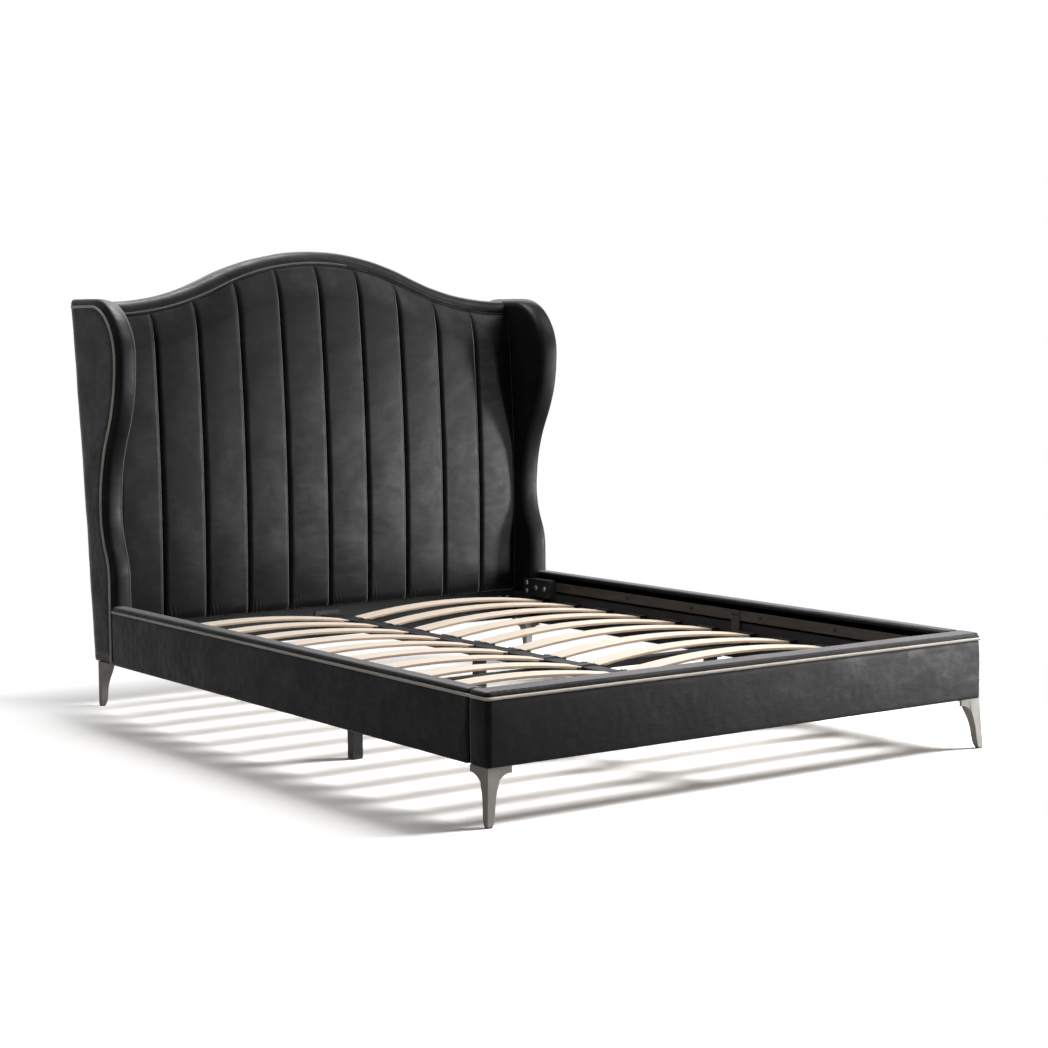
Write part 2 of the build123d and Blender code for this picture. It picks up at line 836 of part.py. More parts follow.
def bed_bolt(place, direction, length):
    return bolt(place, direction, bolt_radius, length, bolt_head, bolt_head_height)


# Slats


def slat_ends():
    """Where a slat's inner and outer ends lie across the bed."""
    return holder_reach, inner_half - ledge_width + cap_insert


def slat_band(grow, length_grow):
    """A bowed slat, or the room for it, for one row at y zero on the right."""
    inner, outer = slat_ends()
    half = (outer - inner) / 2
    radius = (half * half + slat_crown * slat_crown) / (2 * slat_crown)
    middle = (inner + outer) / 2
    centre = (middle, slat_under + slat_crown - radius)
    reach = degrees(asin(half / radius)) + degrees(length_grow / radius)
    low_radius = radius - grow
    high_radius = radius + slat_thickness + grow
    under = arc(centre, low_radius, 90 + reach, 90 - reach)
    over = arc(centre, high_radius, 90 - reach, 90 + reach)
    face = closed_face([under, Line(under @ 1, over @ 0), over, Line(over @ 1, under @ 0)])
    width = slat_width + 2 * grow
    return Pos(0, width / 2, 0) * extrude(Plane.XZ * face, width)


def slat_holder():
    """A plastic saddle over the beam with an open socket on each side for a slat's end."""
    half_width = slat_width / 2 + cap_wall
    top = beam_top + holder_wall
    side = block((beam_width / 2, holder_reach), (-half_width, half_width), (ledge_top, top))
    socket = block(
        (beam_width / 2, holder_reach + holder_insert),
        (-half_width, half_width),
        (ledge_top, ledge_top + holder_cheek),
    )
    half = side + socket - slat_band(slat_clearance, slat_clearance)
    pad = block((-holder_reach, holder_reach), (-holder_pad / 2, holder_pad / 2), (beam_top, top))
    body = half + other_side(half) + pad
    for share in (-1, 1):
        y = share * (holder_pad / 2 - holder_rib_width)
        rib = block(
            (-holder_reach, holder_reach),
            (y - holder_rib_width / 2, y + holder_rib_width / 2),
            (top, top + holder_rib),
        )
        body = body + rib
    return body


def slat_cap():
    """A plastic cap that stands on the ledge and takes a slat's outer end."""
    half_width = slat_width / 2 + cap_wall
    body = block(
        (inner_half - ledge_width, inner_half - steel),
        (-half_width, half_width),
        (ledge_top, ledge_top + cap_height),
    )
    return body - slat_band(slat_clearance, slat_clearance)


def make_slats():
    slat = slat_band(0, 0)
    long_edges = [edge for edge in slat.edges() if edge.length > slat_pitch]
    slat = fillet(long_edges, slat_edge)
    cap = slat_cap()
    holder = slat_holder()
    right_slats = [Pos(0, y, 0) * slat for y in rows]
    right_caps = [Pos(0, y, 0) * cap for y in rows]
    pieces["right_slats"] = group(right_slats)
    pieces["left_slats"] = group([other_side(piece) for piece in right_slats])
    pieces["right_slat_caps"] = group(right_caps)
    pieces["left_slat_caps"] = group([other_side(piece) for piece in right_caps])
    pieces["centre_slat_holders"] = group([Pos(0, y, 0) * holder for y in rows])


# Beam and cross bar


def hollow_bar(x_range, y_range, z_range, axis):
    """A rectangular tube that is open at both ends along the axis numbered."""
    ranges = [list(x_range), list(y_range), list(z_range)]
    inner = []
    for index, (low, high) in enumerate(ranges):
        gap = -overrun if index == axis else tube_wall
        inner.append((low + gap, high - gap))
    return block(*ranges) - block(*inner)


def foot_hanger_screws():
    x = beam_width / 2 + beam_plate_margin / 2
    z = (beam_bottom + beam_top) / 2
    return [(side * x, foot_depth + steel, z) for side in (-1, 1)]


def head_hanger_screws():
    """The head end's screws, on the upright headboard."""
    x = beam_width / 2 + beam_plate_margin / 2
    z = (beam_bottom + beam_top) / 2
    depth = foam_front + steel
    return [((side * x, -depth, z), (0, 1, 0)) for side in (-1, 1)]


def make_beam():
    half = beam_width / 2
    plate_half = half + beam_plate_margin
    plate_z = (beam_bottom - beam_plate_drop, beam_top + beam_plate_rise)
    plate = block((-plate_half, plate_half), (foot_depth, foot_depth + steel), plate_z)
    shelf_z = (beam_bottom - steel, beam_bottom)
    shelf = block((-half, half), (foot_depth, foot_depth + beam_shelf), shelf_z)
    foot_hanger = plate + shelf
    head_plate = lean(
        upright((-plate_half, plate_half), (foam_front, foam_front + steel), plate_z)
    )
    solid_behind = lean(upright((-outer_half, outer_half), (0, foam_front), (0, crown_height)))
    head_face = head_plate.bounding_box().min.Y
    head_shelf = block((-half, half), (head_face - beam_shelf, back_foot), shelf_z)
    head_hanger = head_plate + (head_shelf - solid_behind)
    screws = []
    for place in foot_hanger_screws():
        hole = shank_hole(place, (0, -1, 0), screw_radius, beam_screw_length)
        foot_hanger = foot_hanger - hole
        screws.append(screw(place, (0, -1, 0), beam_screw_length))
    for place, direction in head_hanger_screws():
        hole = lean(shank_hole(place, direction, screw_radius, beam_screw_length))
        head_hanger = head_hanger - hole
        screws.append(lean(screw(place, direction, beam_screw_length)))
    y_range = (foot_depth + steel + beam_end_gap, head_face - beam_end_gap)
    pieces["centre_beam"] = hollow_bar((-half, half), y_range, (beam_bottom, beam_top), 1)
    pieces["beam_hanger_foot"] = foot_hanger
    pieces["beam_hanger_head"] = head_hanger
    pieces["beam_screws"] = group(screws)
    reach = inner_half - steel - bar_end_gap
    bar_y = (cross_bar_place - bar_width / 2, cross_bar_place + bar_width / 2)
    pieces["cross_bar"] = hollow_bar((-reach, reach), bar_y, (bar_bottom, beam_bottom), 0)


# Support legs


def support_leg(x, y, top):
    half = support_tube / 2
    span = ((x - half, x + half), (y - half, y + half))
    tube = hollow_bar(*span, (foot_height, top - steel), 2)
    head_half = leg_head_length / 2
    head = block((x - half, x + half), (y - head_half, y + head_half), (top - steel, top))
    return tube + head


def support_foot(x, y):
    """A plastic foot with a bevelled edge and a spigot inside the tube."""
    half = support_tube / 2
    pad = block((x - half, x + half), (y - half, y + half), (0, foot_height))
    pad = chamfer(pad.faces().sort_by(Axis.Z)[0].edges(), foot_bevel)
    inner = half - tube_wall - foot_spigot_gap
    spigot_z = (foot_height, foot_height + foot_spigot)
    return pad + block((x - inner, x + inner), (y - inner, y + inner), spigot_z)


def make_support_legs():
    centre = (0, centre_leg_place)
    sides = [(side_leg_place, cross_bar_place), (-side_leg_place, cross_bar_place)]
    pieces["centre_support_leg"] = support_leg(*centre, beam_bottom)
    pieces["side_support_legs"] = group([support_leg(*place, bar_bottom) for place in sides])
    pieces["support_leg_feet"] = group([support_foot(*place) for place in [centre] + sides])


# Corner legs


def leg_plate_size():
    return leg_end_arm - leg_plate_margin


def leg_core(flare):
    """The slender leg: square sections that shrink and lean outwards towards the floor."""
    top = rail_bottom
    sections = []
    for share, swell in zip(leg_height_shares, leg_swell_shares):
        height = glide_height + (top - glide_height) * share
        width = leg_tip + (leg_knee - leg_tip) * swell
        out = flare * (1 - share)
        sections.append(Pos(width / 2 - out, width / 2 - out, height) * Rectangle(width, width))
    return loft(sections)


def leg_arm_plate(length):
    """One arm of the collar: a flat wall whose lower edge sweeps down into the leg."""
    top = rail_bottom
    collar = top - leg_collar
    foot = collar - leg_arch
    bend = (length - leg_arch_reach, collar - leg_arch_drop)
    edges = [
        Line((0, top), (length, top)),
        Line((length, top), (length, collar)),
        ThreePointArc((length, collar), bend, (leg_arm_foot, foot)),
        Line((leg_arm_foot, foot), (0, foot)),
        Line((0, foot), (0, top)),
    ]
    return Pos(0, leg_wall, 0) * extrude(Plane.XZ * closed_face(edges), leg_wall)


def corner_leg(flare, spots):
    """A cast leg with its outer corner at the origin and its arms along +x and +y."""
    swap = Plane(origin=(0, 0, 0), z_dir=(1, -1, 0))
    size = leg_plate_size()
    plate = block((0, size), (0, size), (rail_bottom - leg_plate_thickness, rail_bottom))
    arms = leg_arm_plate(leg_end_arm) + mirror(leg_arm_plate(leg_side_arm), about=swap)
    leg = leg_core(flare) + arms + plate
    half = leg_notch_width / 2
    top = rail_bottom + overrun
    notch_face = Polyline(
        (-half, top), (half, top), (half, rail_bottom), (0, rail_bottom - leg_notch_height),
        (-half, rail_bottom), close=True,
    )
    outside = Plane(origin=(-leg_notch_depth, -leg_notch_depth, 0), x_dir=(1, -1, 0), z_dir=(1, 1, 0))
    notch = outside * extrude(make_face(notch_face), leg_notch_reach)
    leg = leg - notch
    for x, y in spots:
        start = (x, y, rail_bottom - leg_plate_thickness)
        leg = leg - shank_hole(start, (0, 0, 1), screw_radius, leg_screw_length)
    return leg


def leg_spots():
    """The two screws of a leg, measured from its outer corner."""
    far = leg_plate_size() - leg_screw_edge
    return [(far, leg_screw_near), (leg_screw_near + leg_screw_step, far)]


def front_leg_screws():
    z = rail_bottom - leg_plate_thickness
    corner = outer_half - leg_inset
    return [(corner - x, leg_inset + y, z) for x, y in leg_spots()]


def rear_leg_corner():
    return wing_back_line(rail_bottom, 0) - rear_leg_setback - leg_inset


def rear_leg_screws():
    z = rail_bottom - leg_plate_thickness
    corner = outer_half - leg_inset
    return [(corner - x, rear_leg_corner() - y, z) for x, y in leg_spots()]


def glide(flare):
    """The black pad under a leg's tip."""
    low = glide_margin - flare
    high = leg_tip - glide_margin - flare
    pad = block((low, high), (low, high), (0, glide_height))
    return fillet(pad.faces().sort_by(Axis.Z)[0].edges(), glide_roll)


def make_corner_legs():
    corner = outer_half - leg_inset
    front_place = Pos(-corner, leg_inset, 0)
    rear_place = Pos(-corner, rear_leg_corner(), 0)
    front = front_place * corner_leg(leg_flare, leg_spots())
    rear = rear_place * mirror(corner_leg(0, leg_spots()), about=Plane.XZ)
    front_glide = front_place * glide(leg_flare)
    rear_glide = rear_place * mirror(glide(0), about=Plane.XZ)
    pieces["front_left_leg"] = front
    pieces["front_right_leg"] = other_side(front)
    pieces["rear_left_leg"] = rear
    pieces["rear_right_leg"] = other_side(rear)
    pieces["leg_glides"] = group(both_sides([front_glide, rear_glide]))
    places = front_leg_screws() + rear_leg_screws()
    screws = [screw(place, (0, 0, 1), leg_screw_length) for place in places]
    pieces["leg_screws"] = group(both_sides(screws))


make_headboard_frame()
make_headboard_panels()
make_wings()
make_side_rails()
make_foot_rail()
make_rail_steel()
make_brackets()
make_slats()
make_beam()
make_support_legs()
make_corner_legs()

# The origin goes to the middle of the whole bed, on the floor
boxes = [piece.bounding_box() for piece in pieces.values()]
front_end = min(box.min.Y for box in boxes)
back_end = max(box.max.Y for box in boxes)
to_middle = Pos(0, -(front_end + back_end) / 2, 0)

for name, piece in pieces.items():
    export_step(to_middle * piece, "parts/" + name + ".step")
print("length", back_end - front_end, "origin behind the foot face", (front_end + back_end) / 2)
print("height", max(box.max.Z for box in boxes), "nodes", len(pieces))
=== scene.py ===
from math import atan, cos, degrees, pi, radians, sin, tan

import bmesh
import bpy
import numpy as np
from mathutils import Matrix, Vector, noise


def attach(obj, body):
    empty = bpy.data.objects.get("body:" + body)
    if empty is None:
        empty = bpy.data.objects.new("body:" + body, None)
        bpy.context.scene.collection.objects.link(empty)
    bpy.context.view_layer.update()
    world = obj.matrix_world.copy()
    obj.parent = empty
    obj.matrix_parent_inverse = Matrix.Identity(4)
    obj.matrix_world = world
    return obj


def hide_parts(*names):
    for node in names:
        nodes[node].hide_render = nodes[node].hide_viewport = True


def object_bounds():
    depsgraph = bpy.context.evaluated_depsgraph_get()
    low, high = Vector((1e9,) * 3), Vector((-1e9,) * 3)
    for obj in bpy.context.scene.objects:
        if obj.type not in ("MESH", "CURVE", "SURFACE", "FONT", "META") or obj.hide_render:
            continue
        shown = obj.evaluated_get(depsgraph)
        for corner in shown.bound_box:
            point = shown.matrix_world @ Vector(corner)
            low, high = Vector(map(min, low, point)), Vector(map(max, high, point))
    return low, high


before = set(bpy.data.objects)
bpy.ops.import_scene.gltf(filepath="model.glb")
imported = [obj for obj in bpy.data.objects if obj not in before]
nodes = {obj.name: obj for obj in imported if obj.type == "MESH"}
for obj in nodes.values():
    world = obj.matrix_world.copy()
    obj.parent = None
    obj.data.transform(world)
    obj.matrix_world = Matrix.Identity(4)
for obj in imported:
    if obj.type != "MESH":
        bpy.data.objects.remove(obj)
cad_low, cad_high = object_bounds()

# The bed's own sizes, in metres. The piping stands out by its radius at the foot and at both sides, so
# it sets the solids' lowest y and highest x. The shapes here are drawn with y from the foot rail's front
# face, as in the part's source, and SHIFT moves them to the frame's origin.
PIPING = 0.004
SHIFT = cad_low[1] + PIPING
INNER = 0.765
OUTER = cad_high[0] - PIPING
RAIL_LOW = 0.139
RAIL_TOP = 0.318
FOOT_DEPTH = 0.078
PIPING_SIDES = 14
PIPING_Z = 0.302
WING_INNER = 0.7440
WING_OUTER = 0.8158
WING_FRONT = 2.010
WING_BACK = 0.009
WING_TOP = 1.244
BACK_FOOT = 2.139
RAKE = radians(5.3)
CROWN = 1.402
CROWN_RISE = 0.164
CROWN_SHARE = 0.493
PANEL_HALF = 0.744
PANEL_LOW = 0.250
BORDER = 0.044
BORDER_DEPTH = 0.098
CHANNELS = 10
CHANNEL = 2 * PANEL_HALF / CHANNELS


# Meshes


def new_object(name, verts, faces, look, smooth=True):
    mesh = bpy.data.meshes.new(name)
    mesh.from_pydata([tuple(map(float, v)) for v in verts], [], faces)
    mesh.validate()
    mesh.update()
    if smooth:
        mesh.polygons.foreach_set("use_smooth", [True] * len(mesh.polygons))
    obj = bpy.data.objects.new(name, mesh)
    bpy.context.scene.collection.objects.link(obj)
    obj.data.materials.append(look)
    return obj


def grid_faces(rows, columns, wrap_columns=False):
    faces = []
    for i in range(rows - 1):
        for j in range(columns if wrap_columns else columns - 1):
            a = i * columns + j
            b = i * columns + (j + 1) % columns
            faces.append((a, b, b + columns, a + columns))
    return faces


def ring_faces(rows, columns):
    """The faces between closed rings, and the first and the last ring for the caps."""
    faces = grid_faces(rows, columns, wrap_columns=True)
    first = range(columns)
    last = range((rows - 1) * columns, rows * columns)
    return faces, tuple(first), tuple(last)


def grid_object(name, points, look):
    """A mesh over a table of points, rows by columns."""
    rows, columns = points.shape[:2]
    return new_object(name, points.reshape(-1, 3), grid_faces(rows, columns), look)


def normals_out(obj):
    """Turns a closed mesh's faces outward."""
    bm = bmesh.new()
    bm.from_mesh(obj.data)
    bmesh.ops.recalc_face_normals(bm, faces=bm.faces)
    bm.to_mesh(obj.data)
    bm.free()
    return obj


def normals_towards(obj, direction):
    """Flips an open sheet's faces where they look away from a direction on the whole."""
    total = Vector((0, 0, 0))
    for polygon in obj.data.polygons:
        total += polygon.normal * polygon.area
    if total.dot(Vector(direction)) < 0:
        obj.data.flip_normals()
    return obj


def shifted(points):
    points = np.array(points, float)
    points[..., 1] += SHIFT
    return points


def leaned(x, depth, height):
    """A place on the upright headboard, its depth counted forward from the back, in the bed's frame."""
    y = BACK_FOOT - depth * cos(RAKE) + height * sin(RAKE)
    z = depth * sin(RAKE) + height * cos(RAKE)
    return np.stack(np.broadcast_arrays(x, y, z), -1)


def level(line, height):
    """A line of x and y set at one height."""
    return np.column_stack([line, np.full(len(line), height)])


def standing(x, line):
    """A line of y and height set at one x."""
    return np.column_stack([np.full(len(line), x), line])


def arc_points(centre, radius, start, end, count):
    """Points on an arc between two angles in degrees, with one radius or an oval's two."""
    across, up = np.broadcast_to(radius, 2)
    turns = np.radians(np.linspace(start, end, count))
    return np.stack([centre[0] + across * np.cos(turns), centre[1] + up * np.sin(turns)], 1)


def line_points(start, end, count):
    """Points on a straight line, both ends included."""
    return np.stack([np.linspace(start[0], end[0], count), np.linspace(start[1], end[1], count)], 1)


def joined(parts):
    """Runs of points put end to end, each shared end kept once."""
    return np.concatenate([parts[0]] + [part[1:] for part in parts[1:]])


def spread(path, count=None, step=None, closed=False):
    """The path's points set evenly along it, as many as count says or about a step apart."""
    if closed:
        path = np.concatenate([path, path[:1]])
    runs = np.linalg.norm(np.diff(path, axis=0), axis=1)
    along = np.concatenate([[0], np.cumsum(runs)])
    if count is None:
        count = max(2, int(round(along[-1] / step)) + 1)
    places = np.linspace(0, along[-1], count, endpoint=not closed)
    return np.stack([np.interp(places, along, column) for column in path.T], 1)


def camel(inset, step):
    """The crown's line between its two hollow shoulders, as x and height, moved in by inset."""
    turn = 2 * atan(CROWN_RISE / PANEL_HALF)
    total = PANEL_HALF / sin(turn)
    crown = total * CROWN_SHARE
    shoulder = total - crown
    tilt = degrees(turn)
    centre = CROWN - CROWN_RISE + shoulder
    side = max(8, int(shoulder * turn / step))
    top = max(16, int(2 * crown * turn / step))
    return joined([
        arc_points((-PANEL_HALF, centre), shoulder + inset, -90, tilt - 90, side),
        arc_points((0, CROWN - crown), crown - inset, 90 + tilt, 90 - tilt, top),
        arc_points((PANEL_HALF, centre), shoulder + inset, -90 - tilt, -90, side),
    ])


def tube(name, path, radius, look, sides):
    """A round bead along a smooth path of points."""
    tangents = np.gradient(path, axis=0)
    tangents /= np.linalg.norm(tangents, axis=1)[:, None]
    normal = np.array([1.0, 0.0, 0.0])
    if abs(tangents[0, 0]) > 0.95:
        normal = np.array([0.0, 0.0, 1.0])
    turns = np.linspace(0, 2 * np.pi, sides, endpoint=False)
    rings = []
    for point, tangent in zip(path, tangents):
        normal = normal - tangent * (normal @ tangent)
        normal /= np.linalg.norm(normal)
        side = np.cross(tangent, normal)
        rings.append(point + radius * (np.outer(np.cos(turns), normal) + np.outer(np.sin(turns), side)))
    faces, first, last = ring_faces(len(path), sides)
    faces += [first[::-1], last]
    return normals_out(new_object(name, np.reshape(rings, (-1, 3)), faces, look))


def soft_noise(points, scale, seed):
    """Smooth noise from -1 to 1 at each point of a table."""
    offset = Vector((seed * 7.3, seed * 3.1, seed * 5.7))
    values = [noise.noise(Vector(point) * scale + offset) for point in points.reshape(-1, 3)]
    return np.reshape(values, points.shape[:-1])


def clipped(values):
    return np.clip(values, 0, 1)


# Materials


def material(name):
    made = bpy.data.materials.new(name)
    made.use_nodes = True
    tree = made.node_tree
    return made, tree, tree.nodes["Principled BSDF"]


def set_inputs(made, values):
    for key, value in values.items():
        made.inputs[key].default_value = value


def node(tree, kind, inputs=None, **settings):
    made = tree.nodes.new(kind)
    for key, value in settings.items():
        setattr(made, key, value)
    set_inputs(made, inputs or {})
    return made


def link(tree, source, target):
    tree.links.new(source, target)


def coordinates(tree, scale=(1, 1, 1)):
    place = node(tree, "ShaderNodeTexCoord")
    mapping = node(tree, "ShaderNodeMapping", {"Scale": scale})
    link(tree, place.outputs["Object"], mapping.inputs["Vector"])
    return mapping.outputs["Vector"]


def noise_node(tree, vector, scale, detail, roughness=0.5, distortion=0.0):
    made = node(tree, "ShaderNodeTexNoise", {
        "Scale": scale, "Detail": detail, "Roughness": roughness, "Distortion": distortion})
    link(tree, vector, made.inputs["Vector"])
    return made.outputs["Fac"]


def ramp(tree, factor, *stops):
    """A colour that follows a factor, from stops of a place with a colour or a grey value."""
    made = node(tree, "ShaderNodeValToRGB")
    elements = made.color_ramp.elements
    while len(elements) < len(stops):
        elements.new(0.5)
    for element, (place, colour) in zip(elements, stops):
        element.position = place
        element.color = (*np.broadcast_to(colour, 3), 1)
    link(tree, factor, made.inputs["Fac"])
    return made.outputs["Color"]


def bump(tree, height, strength, distance, normal=None):
    made = node(tree, "ShaderNodeBump", {"Strength": strength, "Distance": distance})
    link(tree, height, made.inputs["Height"])
    if normal is not None:
        link(tree, normal, made.inputs["Normal"])
    return made.outputs["Normal"]


def math_node(tree, operation, *values):
    made = node(tree, "ShaderNodeMath", operation=operation)
    for socket, value in zip(made.inputs, values):
        if isinstance(value, (int, float)):
            socket.default_value = value
        else:
            link(tree, value, socket)
    return made.outputs[0]


def weighed(tree, first, share, second):
    """Two factors added up, the first by its share and the second by the rest."""
    part = math_node(tree, "MULTIPLY", first, share)
    rest = math_node(tree, "MULTIPLY", second, 1 - share)
    return math_node(tree, "ADD", part, rest)


def velvet(name):
    """Short charcoal pile: a dark ground, brushed patches that catch the light, a soft sheen, and a painted
    sheen that lightens the colour where the cloth turns away from the view.
    """
    made, tree, shader = material(name)
    plain = coordinates(tree)
    wide = coordinates(tree, (0.45, 0.45, 1))
    patches = noise_node(tree, plain, 9.0, 4.0, 0.55, 0.6)
    brushing = noise_node(tree, wide, 46.0, 4.0, 0.65, 0.3)
    pile = noise_node(tree, plain, 420.0, 3.0, 0.7)
    mixed = weighed(tree, patches, 0.6, brushing)
    ground = ramp(tree, mixed, (0.42, (0.0006, 0.0005, 0.0007)), (0.62, (0.0085, 0.0080, 0.0088)))
    # painted sheen: the base colour is made lighter where the cloth turns away from the view, standing in for
    # the pile's bright lit sides
    turned = node(tree, "ShaderNodeLayerWeight", {"Blend": 0.5})
    painted_sheen = ramp(tree, turned.outputs["Facing"],
               (0.25, 0), (0.55, (0.0045, 0.0042, 0.0045)), (0.75, (0.16, 0.155, 0.16)))
    ground_with_painted_sheen = node(tree, "ShaderNodeMix", {"Factor": 1.0}, data_type="RGBA", blend_type="ADD")
    link(tree, ground, ground_with_painted_sheen.inputs[6])
    link(tree, painted_sheen, ground_with_painted_sheen.inputs[7])
    link(tree, ground_with_painted_sheen.outputs[2], shader.inputs["Base Color"])
    link(tree, ramp(tree, mixed, (0.42, 0.50), (0.62, 0.39)), shader.inputs["Roughness"])
    set_inputs(shader, {
        "Specular IOR Level": 0.055, "Sheen Weight": 0.15, "Sheen Roughness": 0.30,
        "Sheen Tint": (0.75, 0.73, 0.73, 1)})
    tufts = noise_node(tree, wide, 170.0, 3.0, 0.6)
    brushed_relief = bump(tree, mixed, 0.22, 0.004)
    tuft_relief = bump(tree, tufts, 0.3, 0.0010, brushed_relief)
    link(tree, bump(tree, pile, 0.45, 0.0006, tuft_relief), shader.inputs["Normal"])
    return made


def cord_cloth(name, low, high):
    """A tightly wound satin cord with a fine slanting rib."""
    made, tree, shader = material(name)
    plain = coordinates(tree)
    wave = node(tree, "ShaderNodeTexWave", {"Scale": 260.0, "Distortion": 0.6},
                wave_type="BANDS", bands_direction="DIAGONAL")
    link(tree, plain, wave.inputs["Vector"])
    patches = noise_node(tree, plain, 30.0, 2.0)
    mixed = weighed(tree, wave.outputs["Fac"], 0.45, patches)
    link(tree, ramp(tree, mixed, (0.25, low), (0.75, high)), shader.inputs["Base Color"])
    set_inputs(shader, {
        "Roughness": 0.5, "Specular IOR Level": 0.2, "Sheen Weight": 0.2, "Sheen Roughness": 0.4})
    link(tree, bump(tree, wave.outputs["Fac"], 0.3, 0.0004), shader.inputs["Normal"])
    return made


def with_plies(tree, face, low, high):
    """The face's colour, with the glued plies on the sides that look along the bed."""
    facing = node(tree, "ShaderNodeNewGeometry")
    split = node(tree, "ShaderNodeSeparateXYZ")
    link(tree, facing.outputs["Normal"], split.inputs[0])
    chosen = ramp(tree, math_node(tree, "ABSOLUTE", split.outputs["Y"]), (0.45, 0), (0.8, 1))
    plies = noise_node(tree, coordinates(tree, (0.4, 1.0, 120.0)), 9.0, 2.0)
    mix = node(tree, "ShaderNodeMix", data_type="RGBA")
    link(tree, chosen, mix.inputs["Factor"])
    link(tree, face, mix.inputs[6])
    link(tree, ramp(tree, plies, (0.35, low), (0.65, high)), mix.inputs[7])
    return mix.outputs[2]


def wood(name, low, high, along="X", plies=None):
    """Pale wood with long fine grain, and on a slat the glued plies along its edges."""
    made, tree, shader = material(name)
    scale = (0.9, 14.0, 14.0) if along == "X" else (14.0, 14.0, 0.9)
    grain = noise_node(tree, coordinates(tree, scale), 6.0, 6.0, 0.62, 0.35)
    patches = noise_node(tree, coordinates(tree), 4.0, 2.0)
    colour = ramp(tree, weighed(tree, grain, 0.7, patches), (0.3, low), (0.7, high))
    if plies:
        colour = with_plies(tree, colour, *plies)
    link(tree, colour, shader.inputs["Base Color"])
    set_inputs(shader, {"Roughness": 0.5, "Specular IOR Level": 0.2})
    link(tree, bump(tree, grain, 0.12, 0.0008), shader.inputs["Normal"])
    return made


def board_cloth(name, low, high):
    """Thin cloth glued over board, with a fine weave."""
    made, tree, shader = material(name)
    plain = coordinates(tree)
    weave = noise_node(tree, plain, 700.0, 1.0)
    patches = noise_node(tree, plain, 12.0, 3.0)
    mixed = weighed(tree, weave, 0.35, patches)
    link(tree, ramp(tree, mixed, (0.35, low), (0.65, high)), shader.inputs["Base Color"])
    set_inputs(shader, {"Roughness": 0.85, "Specular IOR Level": 0.3})
    link(tree, bump(tree, weave, 0.25, 0.0003), shader.inputs["Normal"])
    return made


def coated_steel(name, low, high, roughness):
    """Powder coat: a faint orange-peel and slight scuffs."""
    made, tree, shader = material(name)
    peel = noise_node(tree, coordinates(tree), 420.0, 1.0)
    scuffs = noise_node(tree, coordinates(tree, (1, 0.2, 1)), 60.0, 4.0, 0.7)
    worn = ramp(tree, scuffs, (0.3, roughness * 0.85), (0.7, roughness * 1.2))
    link(tree, ramp(tree, scuffs, (0.4, low), (0.72, high)), shader.inputs["Base Color"])
    link(tree, worn, shader.inputs["Roughness"])
    set_inputs(shader, {"Specular IOR Level": 0.18})
    link(tree, bump(tree, peel, 0.1, 0.0003), shader.inputs["Normal"])
    return made


def brushed(name, low, high, roughness, metallic=1.0, specular=0.5):
    """Satin metal with fine brushing up its length."""
    made, tree, shader = material(name)
    lines = noise_node(tree, coordinates(tree, (1, 1, 0.03)), 900.0, 2.0, 0.6)
    patches = noise_node(tree, coordinates(tree), 25.0, 2.0)
    uneven = ramp(tree, lines, (0.3, roughness * 0.8), (0.7, roughness * 1.25))
    link(tree, ramp(tree, patches, (0.3, low), (0.7, high)), shader.inputs["Base Color"])
    link(tree, uneven, shader.inputs["Roughness"])
    set_inputs(shader, {"Metallic": metallic, "Specular IOR Level": specular})
    link(tree, bump(tree, lines, 0.06, 0.0002), shader.inputs["Normal"])
    return made


def plastic(name, colour, roughness):
    """Moulded plastic with a fine grain and slight differences in its tone."""
    made, tree, shader = material(name)
    grain = noise_node(tree, coordinates(tree), 600.0, 1.0)
    patches = noise_node(tree, coordinates(tree), 40.0, 2.0)
    low = tuple(v * 0.85 for v in colour)
    high = tuple(v * 1.2 for v in colour)
    link(tree, ramp(tree, patches, (0.3, low), (0.7, high)), shader.inputs["Base Color"])
    set_inputs(shader, {"Roughness": roughness, "Specular IOR Level": 0.25})
    link(tree, bump(tree, grain, 0.12, 0.0003), shader.inputs["Normal"])
    return made


VELVET = velvet("velvet")
CORD = cord_cloth("cord", (0.40, 0.35, 0.30), (0.62, 0.56, 0.50))
THREAD = cord_cloth("thread", (0.40, 0.39, 0.385), (0.58, 0.57, 0.56))
SLAT = wood("slat_wood", (0.76, 0.65, 0.53), (0.86, 0.77, 0.67),
            plies=((0.50, 0.34, 0.22), (0.68, 0.51, 0.37)))
SOFTWOOD = wood("softwood", (0.55, 0.38, 0.22), (0.68, 0.50, 0.32), along="Z")
PLYWOOD = wood("plywood", (0.50, 0.36, 0.22), (0.64, 0.48, 0.31), along="Z")
BLACK_BOARD = board_cloth("black_board", (0.008, 0.008, 0.008), (0.018, 0.017, 0.017))
BACK_CLOTH = board_cloth("back_cloth", (0.012, 0.012, 0.012), (0.024, 0.024, 0.024))
FOAM = board_cloth("foam", (0.5, 0.46, 0.35), (0.62, 0.58, 0.45))
STRIP = coated_steel("strip_steel", (0.050, 0.042, 0.036), (0.075, 0.064, 0.055), 0.4)
STEEL = coated_steel("black_steel", (0.010, 0.010, 0.011), (0.020, 0.020, 0.021), 0.5)
NICKEL = brushed("leg_nickel", (0.31, 0.29, 0.268), (0.38, 0.357, 0.33), 0.52, 0.04, 0.12)
ZINC = brushed("zinc", (0.20, 0.20, 0.205), (0.30, 0.30, 0.30), 0.42)
PLASTIC = plastic("black_plastic", (0.016, 0.016, 0.017), 0.42)

